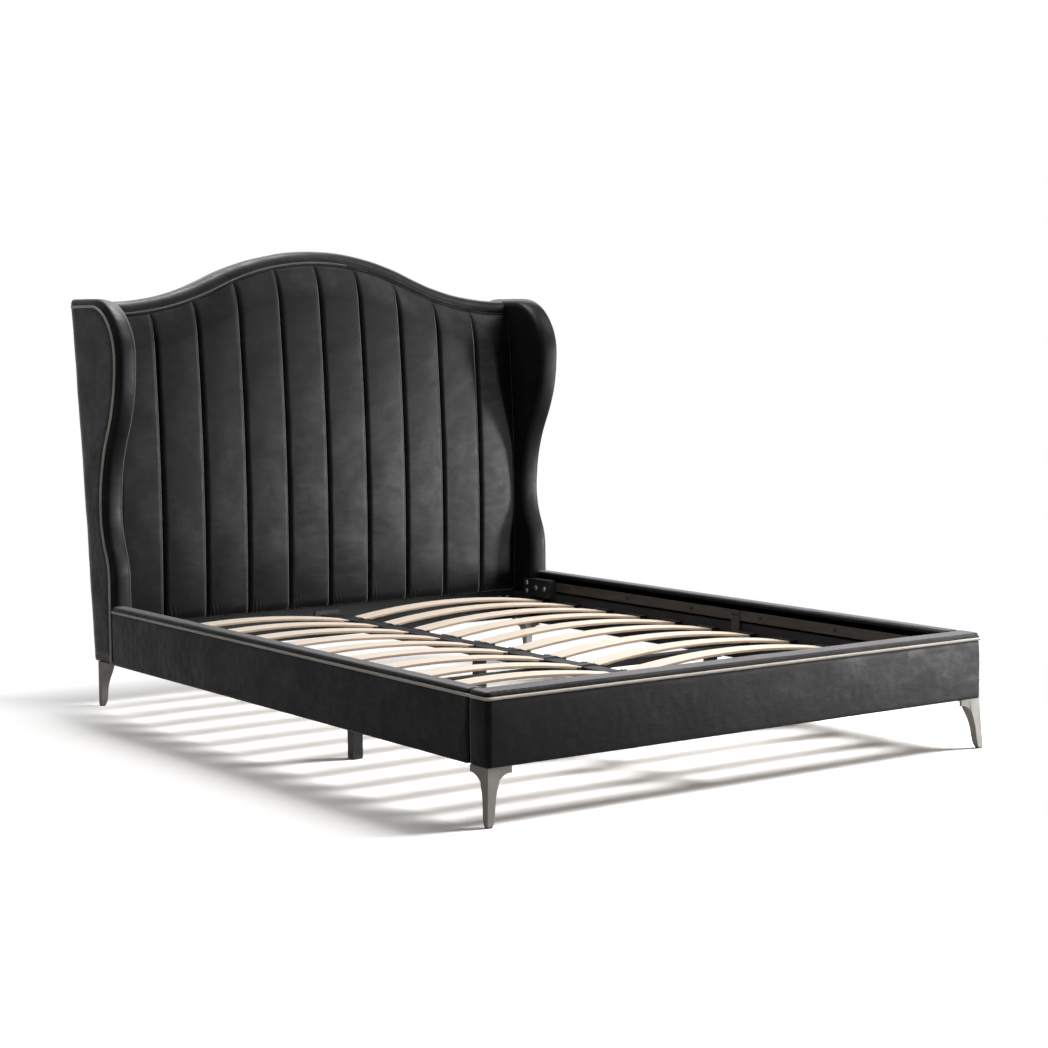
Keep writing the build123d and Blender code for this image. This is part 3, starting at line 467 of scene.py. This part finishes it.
# What the carried-over solids are made of. A solid that isn't named is black steel, or it is a cover or
# a cord that a piece below replaces.
NODE_LOOKS = {
    FOAM: ["headboard_foam"],
    BACK_CLOTH: ["headboard_back_cover"],
    SOFTWOOD: ["headboard_posts", "headboard_top_rail", "headboard_cross_rails", "headboard_centre_stile"],
    PLYWOOD: ["headboard_board", "left_wing_frame", "right_wing_frame", "foot_rail_board"],
    BLACK_BOARD: ["bracket_packers", "headboard_lower_board", "left_side_rail_board", "right_side_rail_board",
                  "foot_rail_inner_board"],
    STRIP: ["left_rail_strip", "right_rail_strip", "left_cross_bar_hanger", "right_cross_bar_hanger"],
    SLAT: ["left_slats", "right_slats"],
    PLASTIC: ["left_slat_caps", "right_slat_caps", "centre_slat_holders", "support_leg_feet", "leg_glides"],
    NICKEL: ["front_left_leg", "front_right_leg", "rear_left_leg", "rear_right_leg"],
    ZINC: ["bed_bolts", "wing_bolts", "leg_screws", "beam_screws"],
}


def dress_nodes():
    look_of = {name: look for look, names in NODE_LOOKS.items() for name in names}
    for name, obj in nodes.items():
        obj.data.materials.clear()
        obj.data.materials.append(look_of.get(name, STEEL))


def piece(obj, slot, *stands_for, fill=None):
    """Ties a piece to the fixed body and hides the solids that it replaces. The slot and the padding (fill)
    are not used.
    """
    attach(obj, "root")
    if stands_for:
        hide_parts(*stands_for)


# Channel panel


def channel_bulge(distance):
    """How far a channel stands out at a distance from its valley: a tight round and a flat crown."""
    side, turn, crown = 0.0165, radians(80), radians(3.0)
    run = side * (sin(turn) - sin(crown))
    lift = side * (cos(crown) - cos(turn))
    crown_radius = (CHANNEL / 2 - run) / sin(crown)
    centre_x, centre_y = side * sin(turn), side * cos(turn)
    near = np.sqrt(np.maximum(side ** 2 - (centre_x - distance) ** 2, 0)) - centre_y
    crown_sagitta = np.sqrt(np.maximum(crown_radius ** 2 - (CHANNEL / 2 - distance) ** 2, 0))
    far = lift + crown_sagitta - crown_radius * cos(crown)
    return np.where(distance < run, near, far)


def panel_columns():
    """Where the panel's columns stand across it, a little closer together at the creases."""
    per_channel = 40
    even_share, eased_share = 0.65, 0.35
    eased = (1 - np.cos(np.linspace(0, np.pi, per_channel, endpoint=False))) / 2
    return np.array([
        -PANEL_HALF + CHANNEL * (i + eased_share * place + even_share * k / per_channel)
        for i in range(CHANNELS) for k, place in enumerate(eased)] + [PANEL_HALF])


def panel_row(across, distance, height, top):
    """One row of the panel, between its bowed ground, the border's seam and its lower edge."""
    bow_y, bow_height, bow_spread = 2.114, 0.535, 12.8
    seam_depth, seam_reach = 0.094, 0.045
    crown_relief, top_share, top_ease, top_edge = 0.0215, 0.22, 0.11, 0.005
    foot_share, foot_reach, foot_lap = 0.35, 0.03, 0.004
    lean, lean_reach, lean_width = 0.007, 0.034, 0.03
    below, above = top - height, height - PANEL_LOW
    rise = clipped(below / top_ease)
    round_top = (top_share + (1 - top_share) * rise ** 2 * (3 - 2 * rise)) * clipped(below / top_edge)
    round_foot = np.sqrt(clipped(1 - (1 - clipped((above + foot_lap) / foot_reach)) ** 2))
    shallow = crown_relief - channel_bulge(CHANNEL / 2)
    relief = (channel_bulge(distance) + shallow) * round_top * (foot_share + (1 - foot_share) * round_foot)
    valley = bow_y + (height - bow_height) ** 2 / bow_spread
    seam = BACK_FOOT - seam_depth * cos(RAKE) + height * sin(RAKE)
    near_top = clipped(1 - below / seam_reach) ** 2
    # a crease leans to the left where it runs into the seam
    near_crease = np.exp(-(distance / lean_width) ** 2)
    x = across - lean * clipped(1 - below / lean_reach) ** 1.5 * near_crease
    y = valley * (1 - near_top) + seam * near_top - relief
    return np.stack([x, y, height], 1)


def wrinkle_panel(table, local, distance):
    """Small gathers beside each crease's foot, and slow waves in the cloth between the creases."""
    gather, gather_reach, gather_pitch, gather_lean = 0.0022, 0.06, 0.0125, 0.18
    gather_from, gather_width, crease_width = 0.028, 0.02, 0.02
    slow, fine = 0.0014, 0.0003
    slow_waves = soft_noise(table, 9.0, 1)
    fine_waves = soft_noise(table * np.array([0.4, 1, 1]), 40.0, 2)
    above = table[..., 2] - PANEL_LOW
    weight = clipped(1 - above / gather_reach) ** 1.5
    pleats = np.sin((table[..., 0] + gather_lean * above) * 2 * np.pi / gather_pitch + 3 * slow_waves)
    beside = np.exp(-((local - gather_from) / gather_width) ** 2)
    table[..., 1] -= gather * weight * pleats * beside
    table[..., 1] -= (slow * slow_waves + fine * fine_waves) * clipped(distance / crease_width)


def make_channel_panel():
    rows, row_ease = 150, 0.035
    across = panel_columns()
    line = camel(BORDER, 0.004)
    top = np.interp(across, line[:, 0], line[:, 1])
    even = np.linspace(0, 1, rows)
    shares = even - row_ease * np.sin(2 * np.pi * even)
    index = np.clip(((across + PANEL_HALF) / CHANNEL).astype(int), 0, CHANNELS - 1)
    local = (across + PANEL_HALF) - index * CHANNEL
    distance = np.minimum(local, CHANNEL - local)
    table = np.array([
        panel_row(across, distance, PANEL_LOW + (top - PANEL_LOW) * share, top) for share in shares])
    wrinkle_panel(table, local, distance)
    # the foot of the panel turns in under the cloth
    tuck = [table[0] + np.array([0, back, -down]) for back, down in ((0.012, 0.0035), (0.004, 0.002))]
    obj = grid_object("channel_cloth", shifted(np.concatenate([tuck, table])), VELVET)
    normals_towards(obj, (0, -1, 0))
    piece(obj, "velvet", "channel_panel", fill=0.7)


# Border roll

SEAM_INSET = BORDER + 0.0015


def border_section():
    """The roll's section as (inset, depth) pairs, from the seam round the front and top to the back."""
    seam_round, front_round, back_round = 0.007, 0.034, 0.008
    tucked = [(SEAM_INSET, 0.070), (BORDER + 0.0008, 0.088)]
    seam_edge = arc_points((BORDER - seam_round, BORDER_DEPTH - seam_round), seam_round, 0, 90, 5)
    front_edge = arc_points((front_round, BORDER_DEPTH - front_round), front_round, 90, 180, 12)
    top = line_points((0, 0.056), (0, 0.012), 6)
    back_edge = arc_points((back_round, back_round), back_round, 180, 270, 5)
    # the end of the cloth goes in under the back cover
    under_cover = [(0.0115, 0.0004), (0.016, 0.0030), (0.044, 0.0040)]
    return np.concatenate([tucked, seam_edge, front_edge, top, back_edge, under_cover])


def make_border():
    slow_depth, fine_depth, top_depth = 0.0012, 0.0006, 0.0010
    front_from, front_ease = 0.07, 0.02
    section = border_section()
    rows = []
    for inset, depth in section:
        line = spread(camel(inset, 0.006), 240)
        rows.append(leaned(line[:, 0], depth, line[:, 1]))
    table = np.array(rows)
    slow, fine = soft_noise(table, 14.0, 3), soft_noise(table, 90.0, 4)
    front = clipped((section[:, 1:] - front_from) / front_ease)
    table[..., 1] -= front * (slow_depth * slow + fine_depth * fine)
    table[..., 2] += (1 - front) * top_depth * slow
    obj = grid_object("border_roll", shifted(table), VELVET)
    normals_towards(obj, (0, -0.5, 0.5))
    piece(obj, "velvet", "headboard_border", fill=0.8)


def make_border_welt():
    depth, radius = 0.0945, 0.0022
    line = spread(camel(SEAM_INSET, 0.004), step=0.004)
    path = leaned(line[:, 0], depth, line[:, 1])
    piece(tube("border_welt", shifted(path), radius, VELVET, 8), "velvet")


def make_border_stitches():
    """A row of slanting stitches beside the seam. It shows from the left end to just past the middle."""
    inset, pitch, last_x = 0.0405, 0.0068, 0.12
    half_length, half_slant, half_width = 0.0026, 0.0010, 0.00075
    depth, low, high, round_up = 0.0978, 0.0002, 0.0016, 0.0006
    places = spread(camel(inset, 0.002), step=pitch)
    steps = np.gradient(places, axis=0)
    steps /= np.linalg.norm(steps, axis=1)[:, None]
    verts, faces = [], []
    for place, along in zip(places[2:-2], steps[2:-2]):
        if place[0] > last_x:
            continue
        reach = np.array([-along[1], along[0]]) * half_length + along * half_slant
        base = len(verts)
        for share, lift in ((-1, low), (-0.5, high), (0.5, high), (1, low)):
            middle = place + reach * share
            for offset, extra in ((-half_width, 0), (half_width, 0), (0, round_up)):
                x, height = middle + along * offset
                verts.append(leaned(x, depth + lift + extra, height))
        for start in range(base, base + 9, 3):
            faces += [(start, start + 3, start + 5, start + 2), (start + 2, start + 5, start + 4, start + 1)]
    piece(new_object("border_stitches", shifted(verts), faces, THREAD), "piping")


# Wings


def wing_front_line(inset, step=0.006):
    """The wing's front and top edge as y and height, from its foot to the end of the shoulder."""
    low_height, neck_height, front_height = 0.400, 0.606, 1.066
    setback, reach, radius = 0.049, 0.072, 0.178
    hollow_share = 0.58
    low_y, neck_y, front_y = WING_FRONT, WING_FRONT + setback, WING_FRONT - reach
    turn = 2 * atan(setback / (neck_height - low_height))
    total = (neck_height - low_height) / sin(turn)
    low_bow, low_hollow = total * (1 - hollow_share), total * hollow_share
    turn_low = degrees(turn)
    turn = 2 * atan((neck_y - front_y) / (front_height - neck_height))
    high_bend = (front_height - neck_height) / sin(turn) / 2
    turn_high = degrees(turn)

    def bend(centre, r, start, end):
        count = max(6, int(abs(radians(end - start)) * r / step))
        return arc_points(centre, r, start, end, count)

    return joined([
        line_points((low_y + inset, RAIL_LOW), (low_y + inset, low_height), 44),
        bend((low_y + low_bow, low_height), low_bow - inset, 180, 180 - turn_low),
        bend((neck_y - low_hollow, neck_height), low_hollow + inset, -turn_low, 0),
        bend((neck_y - high_bend, neck_height), high_bend + inset, 0, turn_high),
        bend((front_y + high_bend, front_height), high_bend - inset, 180 + turn_high, 180),
        bend((front_y + radius, front_height), radius - inset, 180, 90),
    ])


def wing_back(height, inset):
    """The wing's back edge, which flares a little towards the top."""
    flare, flare_from, flare_height = 0.013, 0.75, 0.48
    flared = BACK_FOOT + WING_BACK + flare * clipped((height - flare_from) / flare_height)
    return flared + height * tan(RAKE) - inset / cos(RAKE)


def wing_loop(inset, count):
    """The wing's whole outline moved in by inset, as a closed loop of y and height."""
    roll = 0.010
    front = wing_front_line(inset)
    shoulder_y, top = front[-1]
    foot_y, low = front[0][0], RAIL_LOW + inset
    back_y = wing_back(top, inset) - roll
    heights = np.linspace(top - roll, low, 170)
    back = np.stack([wing_back(heights, inset), heights], 1)
    return spread(np.concatenate([
        [[foot_y, low]],
        front[front[:, 1] >= low],
        line_points((shoulder_y, top), (back_y, top), 12)[1:],
        arc_points((back_y, top - roll), roll, 90, 0, 6)[1:],
        back[1:],
        line_points(back[-1], (foot_y, low), 24)[1:-1],
    ]), count, closed=True)


# (x, inset) of the right wing's cover, from its inner face round the padded front band, past the
# cord's seat, to its outer face
WING_PROFILE = [
    (WING_INNER, 0.050), (WING_INNER, 0.030), (0.7441, 0.0230), (0.7446, 0.0175), (0.7458, 0.0130),
    (0.7480, 0.0090), (0.7510, 0.0060), (0.7550, 0.0035), (0.7600, 0.0014), (0.7660, -0.0004),
    (0.7730, -0.0020), (0.7800, -0.0031), (0.7870, -0.0038), (0.7930, -0.0040), (0.7985, -0.0034),
    (0.8030, -0.0012), (0.8060, 0.0024), (0.8088, 0.0075), (0.8105, 0.0120), (0.8112, 0.0160),
    (0.8118, 0.0195), (0.8128, 0.0225), (0.8142, 0.0250), (0.8152, 0.0300), (0.8157, 0.038),
    (WING_OUTER, 0.050)]


def wing_table():
    """The right wing as closed loops, from the middle of its inner face round to that of its outer face."""
    count = 560
    low_margin, top_margin = 0.09, 0.10
    edge = wing_loop(WING_PROFILE[0][1], count)
    front_line = wing_front_line(0.0)
    # each broad face is drawn towards a spine inside the outline
    heights = np.clip(edge[:, 1], RAIL_LOW + low_margin, WING_TOP - top_margin)
    front = np.interp(heights, front_line[:, 1], front_line[:, 0])
    spine = np.stack([(front + wing_back(heights, 0.0)) / 2, heights], 1)
    shares = (0.25, 0.5, 0.75, 0.97)
    inner = [standing(WING_INNER, edge + (spine - edge) * share) for share in shares[::-1]]
    band = [standing(x, wing_loop(inset, count)) for x, inset in WING_PROFILE]
    outer = [standing(WING_OUTER, edge + (spine - edge) * share) for share in shares]
    return np.array(inner + band + outer)


def make_wings():
    table = shifted(wing_table())
    verts = table.reshape(-1, 3)
    faces, first, last = ring_faces(*table.shape[:2])
    faces += [first, last[::-1]]
    right = normals_out(new_object("right_wing_cloth", verts, faces, VELVET))
    normals = np.array([v.normal for v in right.data.vertices], float)
    slow_depth, fine_depth = 0.0012, 0.0003
    waves = slow_depth * soft_noise(verts, 11.0, 5) + fine_depth * soft_noise(verts, 55.0, 6)
    moved = verts + normals * waves[:, None]
    right.data.vertices.foreach_set("co", moved.ravel())
    right.data.update()
    left = normals_out(new_object("left_wing_cloth", moved * np.array([-1, 1, 1]), faces, VELVET))
    piece(right, "velvet", "right_wing_cover", fill=0.8)
    piece(left, "velvet", "left_wing_cover", fill=0.8)


def make_wing_piping():
    inset, back_inset, sunk = 0.0195, 0.022, 0.0016
    line = wing_front_line(inset, 0.004)
    end, top = line[-1]
    straight = line_points((end, top), (wing_back(top, back_inset), top), 20)
    path = spread(joined([line, straight]), step=0.004)
    for side, sign in (("right", 1), ("left", -1)):
        points = shifted(standing(sign * (OUTER - sunk), path))
        piece(tube(side + "_wing_cord", points, PIPING, CORD, PIPING_SIDES), "piping", side + "_wing_piping")


# Rails

TOP_ROLL = 0.012
TOP_ROLL_FRONT = 0.0125
TOP_PADDED = RAIL_TOP + 0.0004
LOW_ROLL = 0.004
FACE_LOW = 0.150
FACE_TOP = 0.290
FACE = OUTER - 0.0002
# the hollow that the cord lies in, as (inset, height) pairs from the top down
CORD_SEAT = np.array([(0.0032, 0.3035), (0.0042, 0.3018), (0.0034, 0.2998), (0.0012, 0.2970)])


def face_bow(heights):
    """How far a rail's padded face stands out between its lower edge and its cord."""
    bow, bow_height = 0.0012, 0.155
    return bow * np.sin(pi * (heights - RAIL_LOW - LOW_ROLL) / bow_height)


def rail_unevenness(table, seed):
    """How far slow and fine waves move a rail's cloth at each point of a table."""
    slow_depth, fine_depth = 0.0009, 0.0003
    return slow_depth * soft_noise(table, 7.0, seed) + fine_depth * soft_noise(table, 45.0, seed + 1)


def rail_section():
    """The side rail's section as x and height, from the inner face over the top and down the front."""
    heights = np.linspace(FACE_TOP, FACE_LOW, 22)
    roll_height = RAIL_TOP - TOP_ROLL
    return np.concatenate([
        [(INNER, 0.250), (INNER, 0.3005)],
        arc_points((INNER + TOP_ROLL, roll_height), TOP_ROLL, 180, 90, 7),
        [(0.787, TOP_PADDED), (0.795, TOP_PADDED)],
        arc_points((OUTER - TOP_ROLL_FRONT, roll_height), (TOP_ROLL_FRONT, TOP_ROLL), 90, 8, 7),
        (OUTER, 0) + CORD_SEAT * (-1, 1),
        np.stack([FACE + face_bow(heights), heights], 1),
        arc_points((OUTER - LOW_ROLL, RAIL_LOW + LOW_ROLL), LOW_ROLL, 0, -90, 5),
        [(0.800, RAIL_LOW), (0.785, RAIL_LOW), (0.766, RAIL_LOW)],
    ])


def rail_table(section):
    """The section's rings along the right rail. They draw in at both ends, most at the foot."""
    centre = np.array([0.79, 0.228])
    # how far a ring stands from the rail's end, and how far it draws in there
    foot_end = [(0.0030, 0.016), (0.0014, 0.0105), (0.0012, 0.0082), (0.0022, 0.0050), (0.0044, 0.0025),
                (0.0075, 0.0009), (0.0110, 0.0002)]
    head_end = [(0.006, 0.0), (0.003, 0.0002), (0.001, 0.0006)]
    stations = [(FOOT_DEPTH + gap, inward) for gap, inward in foot_end]
    stations += [(y, 0.0) for y in np.linspace(FOOT_DEPTH + 0.016, WING_FRONT - 0.010, 380)]
    stations += [(WING_FRONT - gap, inward) for gap, inward in head_end]
    outward = section - centre
    outward /= np.linalg.norm(outward, axis=1)[:, None]
    rings = []
    for y, inward in stations:
        ring = section - outward * inward
        rings.append(np.column_stack([ring[:, 0], np.full(len(ring), y), ring[:, 1]]))
    return np.array(rings)


def make_side_rails():
    uneven_from, uneven_ease = 0.806, 0.008
    foot_gap, wing_gap = 0.001, 0.0005
    section = rail_section()
    table = rail_table(section)
    on_face = clipped((section[:, 0] - uneven_from) / uneven_ease)[None, :]
    cord_line = line_points((FACE, FOOT_DEPTH + foot_gap), (FACE, WING_FRONT - wing_gap), 500)
    for side, sign, seed in (("right", 1, 11), ("left", -1, 21)):
        points = table.copy()
        points[..., 0] += on_face * rail_unevenness(table, seed)
        points[..., 0] *= sign
        cloth = normals_towards(grid_object(side + "_rail_cloth", shifted(points), VELVET), (sign, 0, 0.1))
        piece(cloth, "velvet", side + "_side_rail_cover", fill=0.8)
        path = shifted(level(cord_line * (sign, 1), PIPING_Z))
        cord = tube(side + "_rail_cord", path, PIPING, CORD, PIPING_SIDES)
        piece(cord, "piping", side + "_side_rail_piping")


def foot_outline(inset, count_side=26, count_corner=10, count_front=420):
    """The foot rail's plan, from the left end round both corners to the right end."""
    corner, end_gap = 0.014, 0.0006
    end_bow, end_roll, roll_from = 0.0020, 0.011, 0.84
    half, near, radius = OUTER - inset, OUTER - corner, corner - inset
    left = line_points((-half, FOOT_DEPTH - end_gap), (-half, corner), count_side)
    # the end bows out a little and rolls in where it meets the side rail
    along = (left[:, 1] - corner) / (FOOT_DEPTH - corner)
    rolled = end_roll * clipped((along - roll_from) / (1 - roll_from)) ** 2
    left[:, 0] -= end_bow * np.sin(np.pi * clipped(along)) - rolled
    return joined([
        left,
        arc_points((-near, corner), radius, 180, 270, count_corner),
        line_points((-near, inset), (near, inset), count_front),
        arc_points((near, corner), radius, 270, 360, count_corner),
        left[::-1] * (-1, 1),
    ])


def foot_table():
    """The foot rail's cover as lines from its underside up the front and over the top to the inside."""
    least, back_gap, inner_gap, end_width = 0.0135, 0.002, 0.0004, 0.02
    heights = np.linspace(FACE_LOW, FACE_TOP, 24)
    roll_height = RAIL_TOP - TOP_ROLL
    front = np.concatenate([
        [(0.020, RAIL_LOW), (0.0085, RAIL_LOW)],
        arc_points((LOW_ROLL, RAIL_LOW + LOW_ROLL), LOW_ROLL, 270, 180, 5),
        np.stack([-face_bow(heights), heights], 1),
        CORD_SEAT[::-1],
        arc_points((TOP_ROLL_FRONT, roll_height), (TOP_ROLL_FRONT, TOP_ROLL), 172, 90, 7),
    ])
    rows = [level(foot_outline(min(inset, least)), height) for inset, height in front]
    top = foot_outline(least)
    back = top.copy()
    back[:, 0] = np.clip(top[:, 0], -INNER - end_width, INNER + end_width)
    back[:, 1] = FOOT_DEPTH - back_gap
    over_top = [(0.25, TOP_PADDED), (0.5, TOP_PADDED), (0.75, TOP_PADDED), (0.93, 0.3170), (0.985, 0.3140)]
    rows += [level(top + (back - top) * share, height) for share, height in over_top]
    inside = back + (0, back_gap - inner_gap)
    rows += [level(inside, roll_height), level(inside, FACE_TOP)]
    return np.array(rows)


def make_foot_rail():
    top_from, front_reach = 0.312, 0.02
    gathered_to, gather_ease = -0.52, 0.2
    gather, gather_pitch, top_wave = 0.0004, 0.021, 0.0008
    table = foot_table()
    slow = soft_noise(table, 7.0, 31)
    on_top = table[..., 2] > top_from
    # small gathers on the top towards the left end
    weight = on_top * clipped((gathered_to - table[..., 0]) / gather_ease)
    gathers = np.sin(table[..., 0] * 2 * np.pi / gather_pitch + 9 * slow) * weight
    on_front = (table[..., 2] < FACE_TOP) & (table[..., 1] < front_reach)
    table[..., 1] -= on_front * rail_unevenness(table, 31)
    table[..., 2] += gather * gathers + top_wave * slow * on_top
    cloth = normals_towards(grid_object("foot_rail_cloth", shifted(table), VELVET), (0, -1, 0.5))
    piece(cloth, "velvet", "foot_rail_cover", fill=0.8)
    cord_line = foot_outline(0.0, count_side=18, count_corner=14, count_front=460)
    path = shifted(level(cord_line, PIPING_Z))
    piece(tube("foot_rail_cord", path, PIPING, CORD, PIPING_SIDES), "piping", "foot_rail_piping")


# Camera, floor and light


def make_camera():
    photo_size, focal_length, shift = 1048, 2258, -0.6
    sensor, place = 36.0, (-3.713, -4.253 + SHIFT, 1.168)
    yaw, pitch, roll = radians(35.27), radians(5.11), radians(-0.43)
    forward = Vector((sin(yaw) * cos(pitch), cos(yaw) * cos(pitch), -sin(pitch)))
    right = Vector((cos(yaw), -sin(yaw), 0))
    up = right.cross(forward)
    right, up = right * cos(roll) + up * sin(roll), -right * sin(roll) + up * cos(roll)
    turn = Matrix((right, up, -forward)).transposed()
    data = bpy.data.cameras.new("camera")
    data.sensor_width = sensor
    data.lens = sensor * focal_length / photo_size
    data.shift_x = shift / photo_size
    data.clip_start, data.clip_end = 0.05, 100
    camera = bpy.data.objects.new("camera", data)
    camera.matrix_world = Matrix.Translation(place) @ turn.to_4x4()
    bpy.context.scene.collection.objects.link(camera)
    bpy.context.scene.camera = camera


def any_ray(tree, first, *others):
    """A factor that is 1 for rays of any of the kinds named and 0 for the rest."""
    path = node(tree, "ShaderNodeLightPath")
    factor = path.outputs[first]
    for kind in others:
        factor = math_node(tree, "MAXIMUM", factor, path.outputs[kind])
    return factor


def mix_shaders(tree, factor, first, second):
    mix = node(tree, "ShaderNodeMixShader")
    link(tree, factor, mix.inputs["Fac"])
    link(tree, first.outputs[0], mix.inputs[1])
    link(tree, second.outputs[0], mix.inputs[2])
    return mix


def add_shaders(tree, first, second):
    both = node(tree, "ShaderNodeAddShader")
    link(tree, first.outputs[0], both.inputs[0])
    link(tree, second.outputs[0], both.inputs[1])
    return both


def away_from_bed(tree):
    """A factor from 0 beside the bed to 1 well away from it, reached sooner behind its head."""
    half_width, half_length, reach = 0.8, 1.1, 2.0
    place = node(tree, "ShaderNodeTexCoord")
    split = node(tree, "ShaderNodeSeparateXYZ")
    link(tree, place.outputs["Object"], split.inputs[0])
    beside = math_node(tree, "SUBTRACT", math_node(tree, "ABSOLUTE", split.outputs["X"]), half_width)
    before = math_node(tree, "SUBTRACT", math_node(tree, "ABSOLUTE", split.outputs["Y"]), half_length)
    away = math_node(tree, "MAXIMUM", beside, before)
    head = ramp(tree, split.outputs["Y"], (0.55, 0), (1.0, 1))
    away = math_node(tree, "ADD", away, math_node(tree, "MULTIPLY", head, 0.30))
    return ramp(tree, math_node(tree, "DIVIDE", away, reach), (0.04, 0), (0.30, 1))


def make_floor():
    size = 30.0
    made, tree, ground = material("floor")
    set_inputs(ground, {
        "Base Color": (0.95, 0.935, 0.92, 1), "Roughness": 0.9, "Specular IOR Level": 0.0})
    lift = node(tree, "ShaderNodeBsdfDiffuse", {"Color": (0.525, 0.505, 0.485, 1)})
    glow = node(tree, "ShaderNodeEmission", {"Color": (1, 0.995, 0.985, 1), "Strength": 0.03})
    near = add_shaders(tree, add_shaders(tree, ground, lift), glow)
    # far from the bed the floor meets a white background
    white = node(tree, "ShaderNodeEmission", {"Color": (1, 1, 1, 1), "Strength": 1.0})
    shown = mix_shaders(tree, away_from_bed(tree), near, white)
    # the light that the floor gives back to the bed is lower than what the camera sees of it
    dim = node(tree, "ShaderNodeBsdfDiffuse", {"Color": (0.42, 0.42, 0.42, 1)})
    seen = any_ray(tree, "Is Camera Ray", "Is Glossy Ray")
    mix = mix_shaders(tree, seen, dim, shown)
    link(tree, mix.outputs[0], tree.nodes["Material Output"].inputs["Surface"])
    verts = [(-size, -size, 0), (size, -size, 0), (size, size, 0), (-size, size, 0)]
    new_object("floor", verts, [(0, 1, 2, 3)], made, smooth=False)


def make_world():
    world = bpy.data.worlds.new("world")
    bpy.context.scene.world = world
    world.use_nodes = True
    tree = world.node_tree
    ambient = tree.nodes["Background"]
    set_inputs(ambient, {"Color": (1, 1, 1, 1), "Strength": 0.15})
    white = node(tree, "ShaderNodeBackground", {"Color": (1, 1, 1, 1), "Strength": 1.0})
    seen = any_ray(tree, "Is Camera Ray", "Is Glossy Ray", "Is Transmission Ray")
    mix = mix_shaders(tree, seen, ambient, white)
    link(tree, mix.outputs[0], tree.nodes["World Output"].inputs["Surface"])


def area_light(name, place, target, size, power, gloss_only=False):
    """A lamp turned to a target, both placed as the shapes are. With gloss_only it lights gloss alone."""
    data = bpy.data.lights.new(name, "AREA")
    data.shape = "RECTANGLE"
    data.size, data.size_y = size
    data.energy = power
    light = bpy.data.objects.new(name, data)
    light.visible_camera = False
    light.visible_diffuse = not gloss_only
    place, target = Vector(place), Vector(target)
    light.rotation_mode = "QUATERNION"
    light.rotation_quaternion = (target - place).to_track_quat("-Z", "Y")
    light.location = place + Vector((0, SHIFT, 0))
    bpy.context.scene.collection.objects.link(light)


def make_lights():
    area_light("key", (4.0, -0.9, 5.3), (0.0, 1.0, 0.2), (1.7, 4.2), 700)
    area_light("panel_strip", (2.8, 0.3, 0.6), (0.0, 2.0, 0.6), (0.4, 1.2), 330, gloss_only=True)
    area_light("crown_strip", (0.2, 2.6, 3.0), (-0.2, 2.15, 1.3), (1.2, 0.3), 160, gloss_only=True)
    area_light("foot_strip", (2.4, -1.6, 0.35), (0.6, 0.0, 0.25), (0.4, 0.6), 210, gloss_only=True)


dress_nodes()
make_channel_panel()
make_border()
make_border_welt()
make_border_stitches()
make_wings()
make_wing_piping()
make_side_rails()
make_foot_rail()
make_camera()
make_floor()
make_world()
make_lights()
bpy.context.scene.view_settings.view_transform = "Standard"
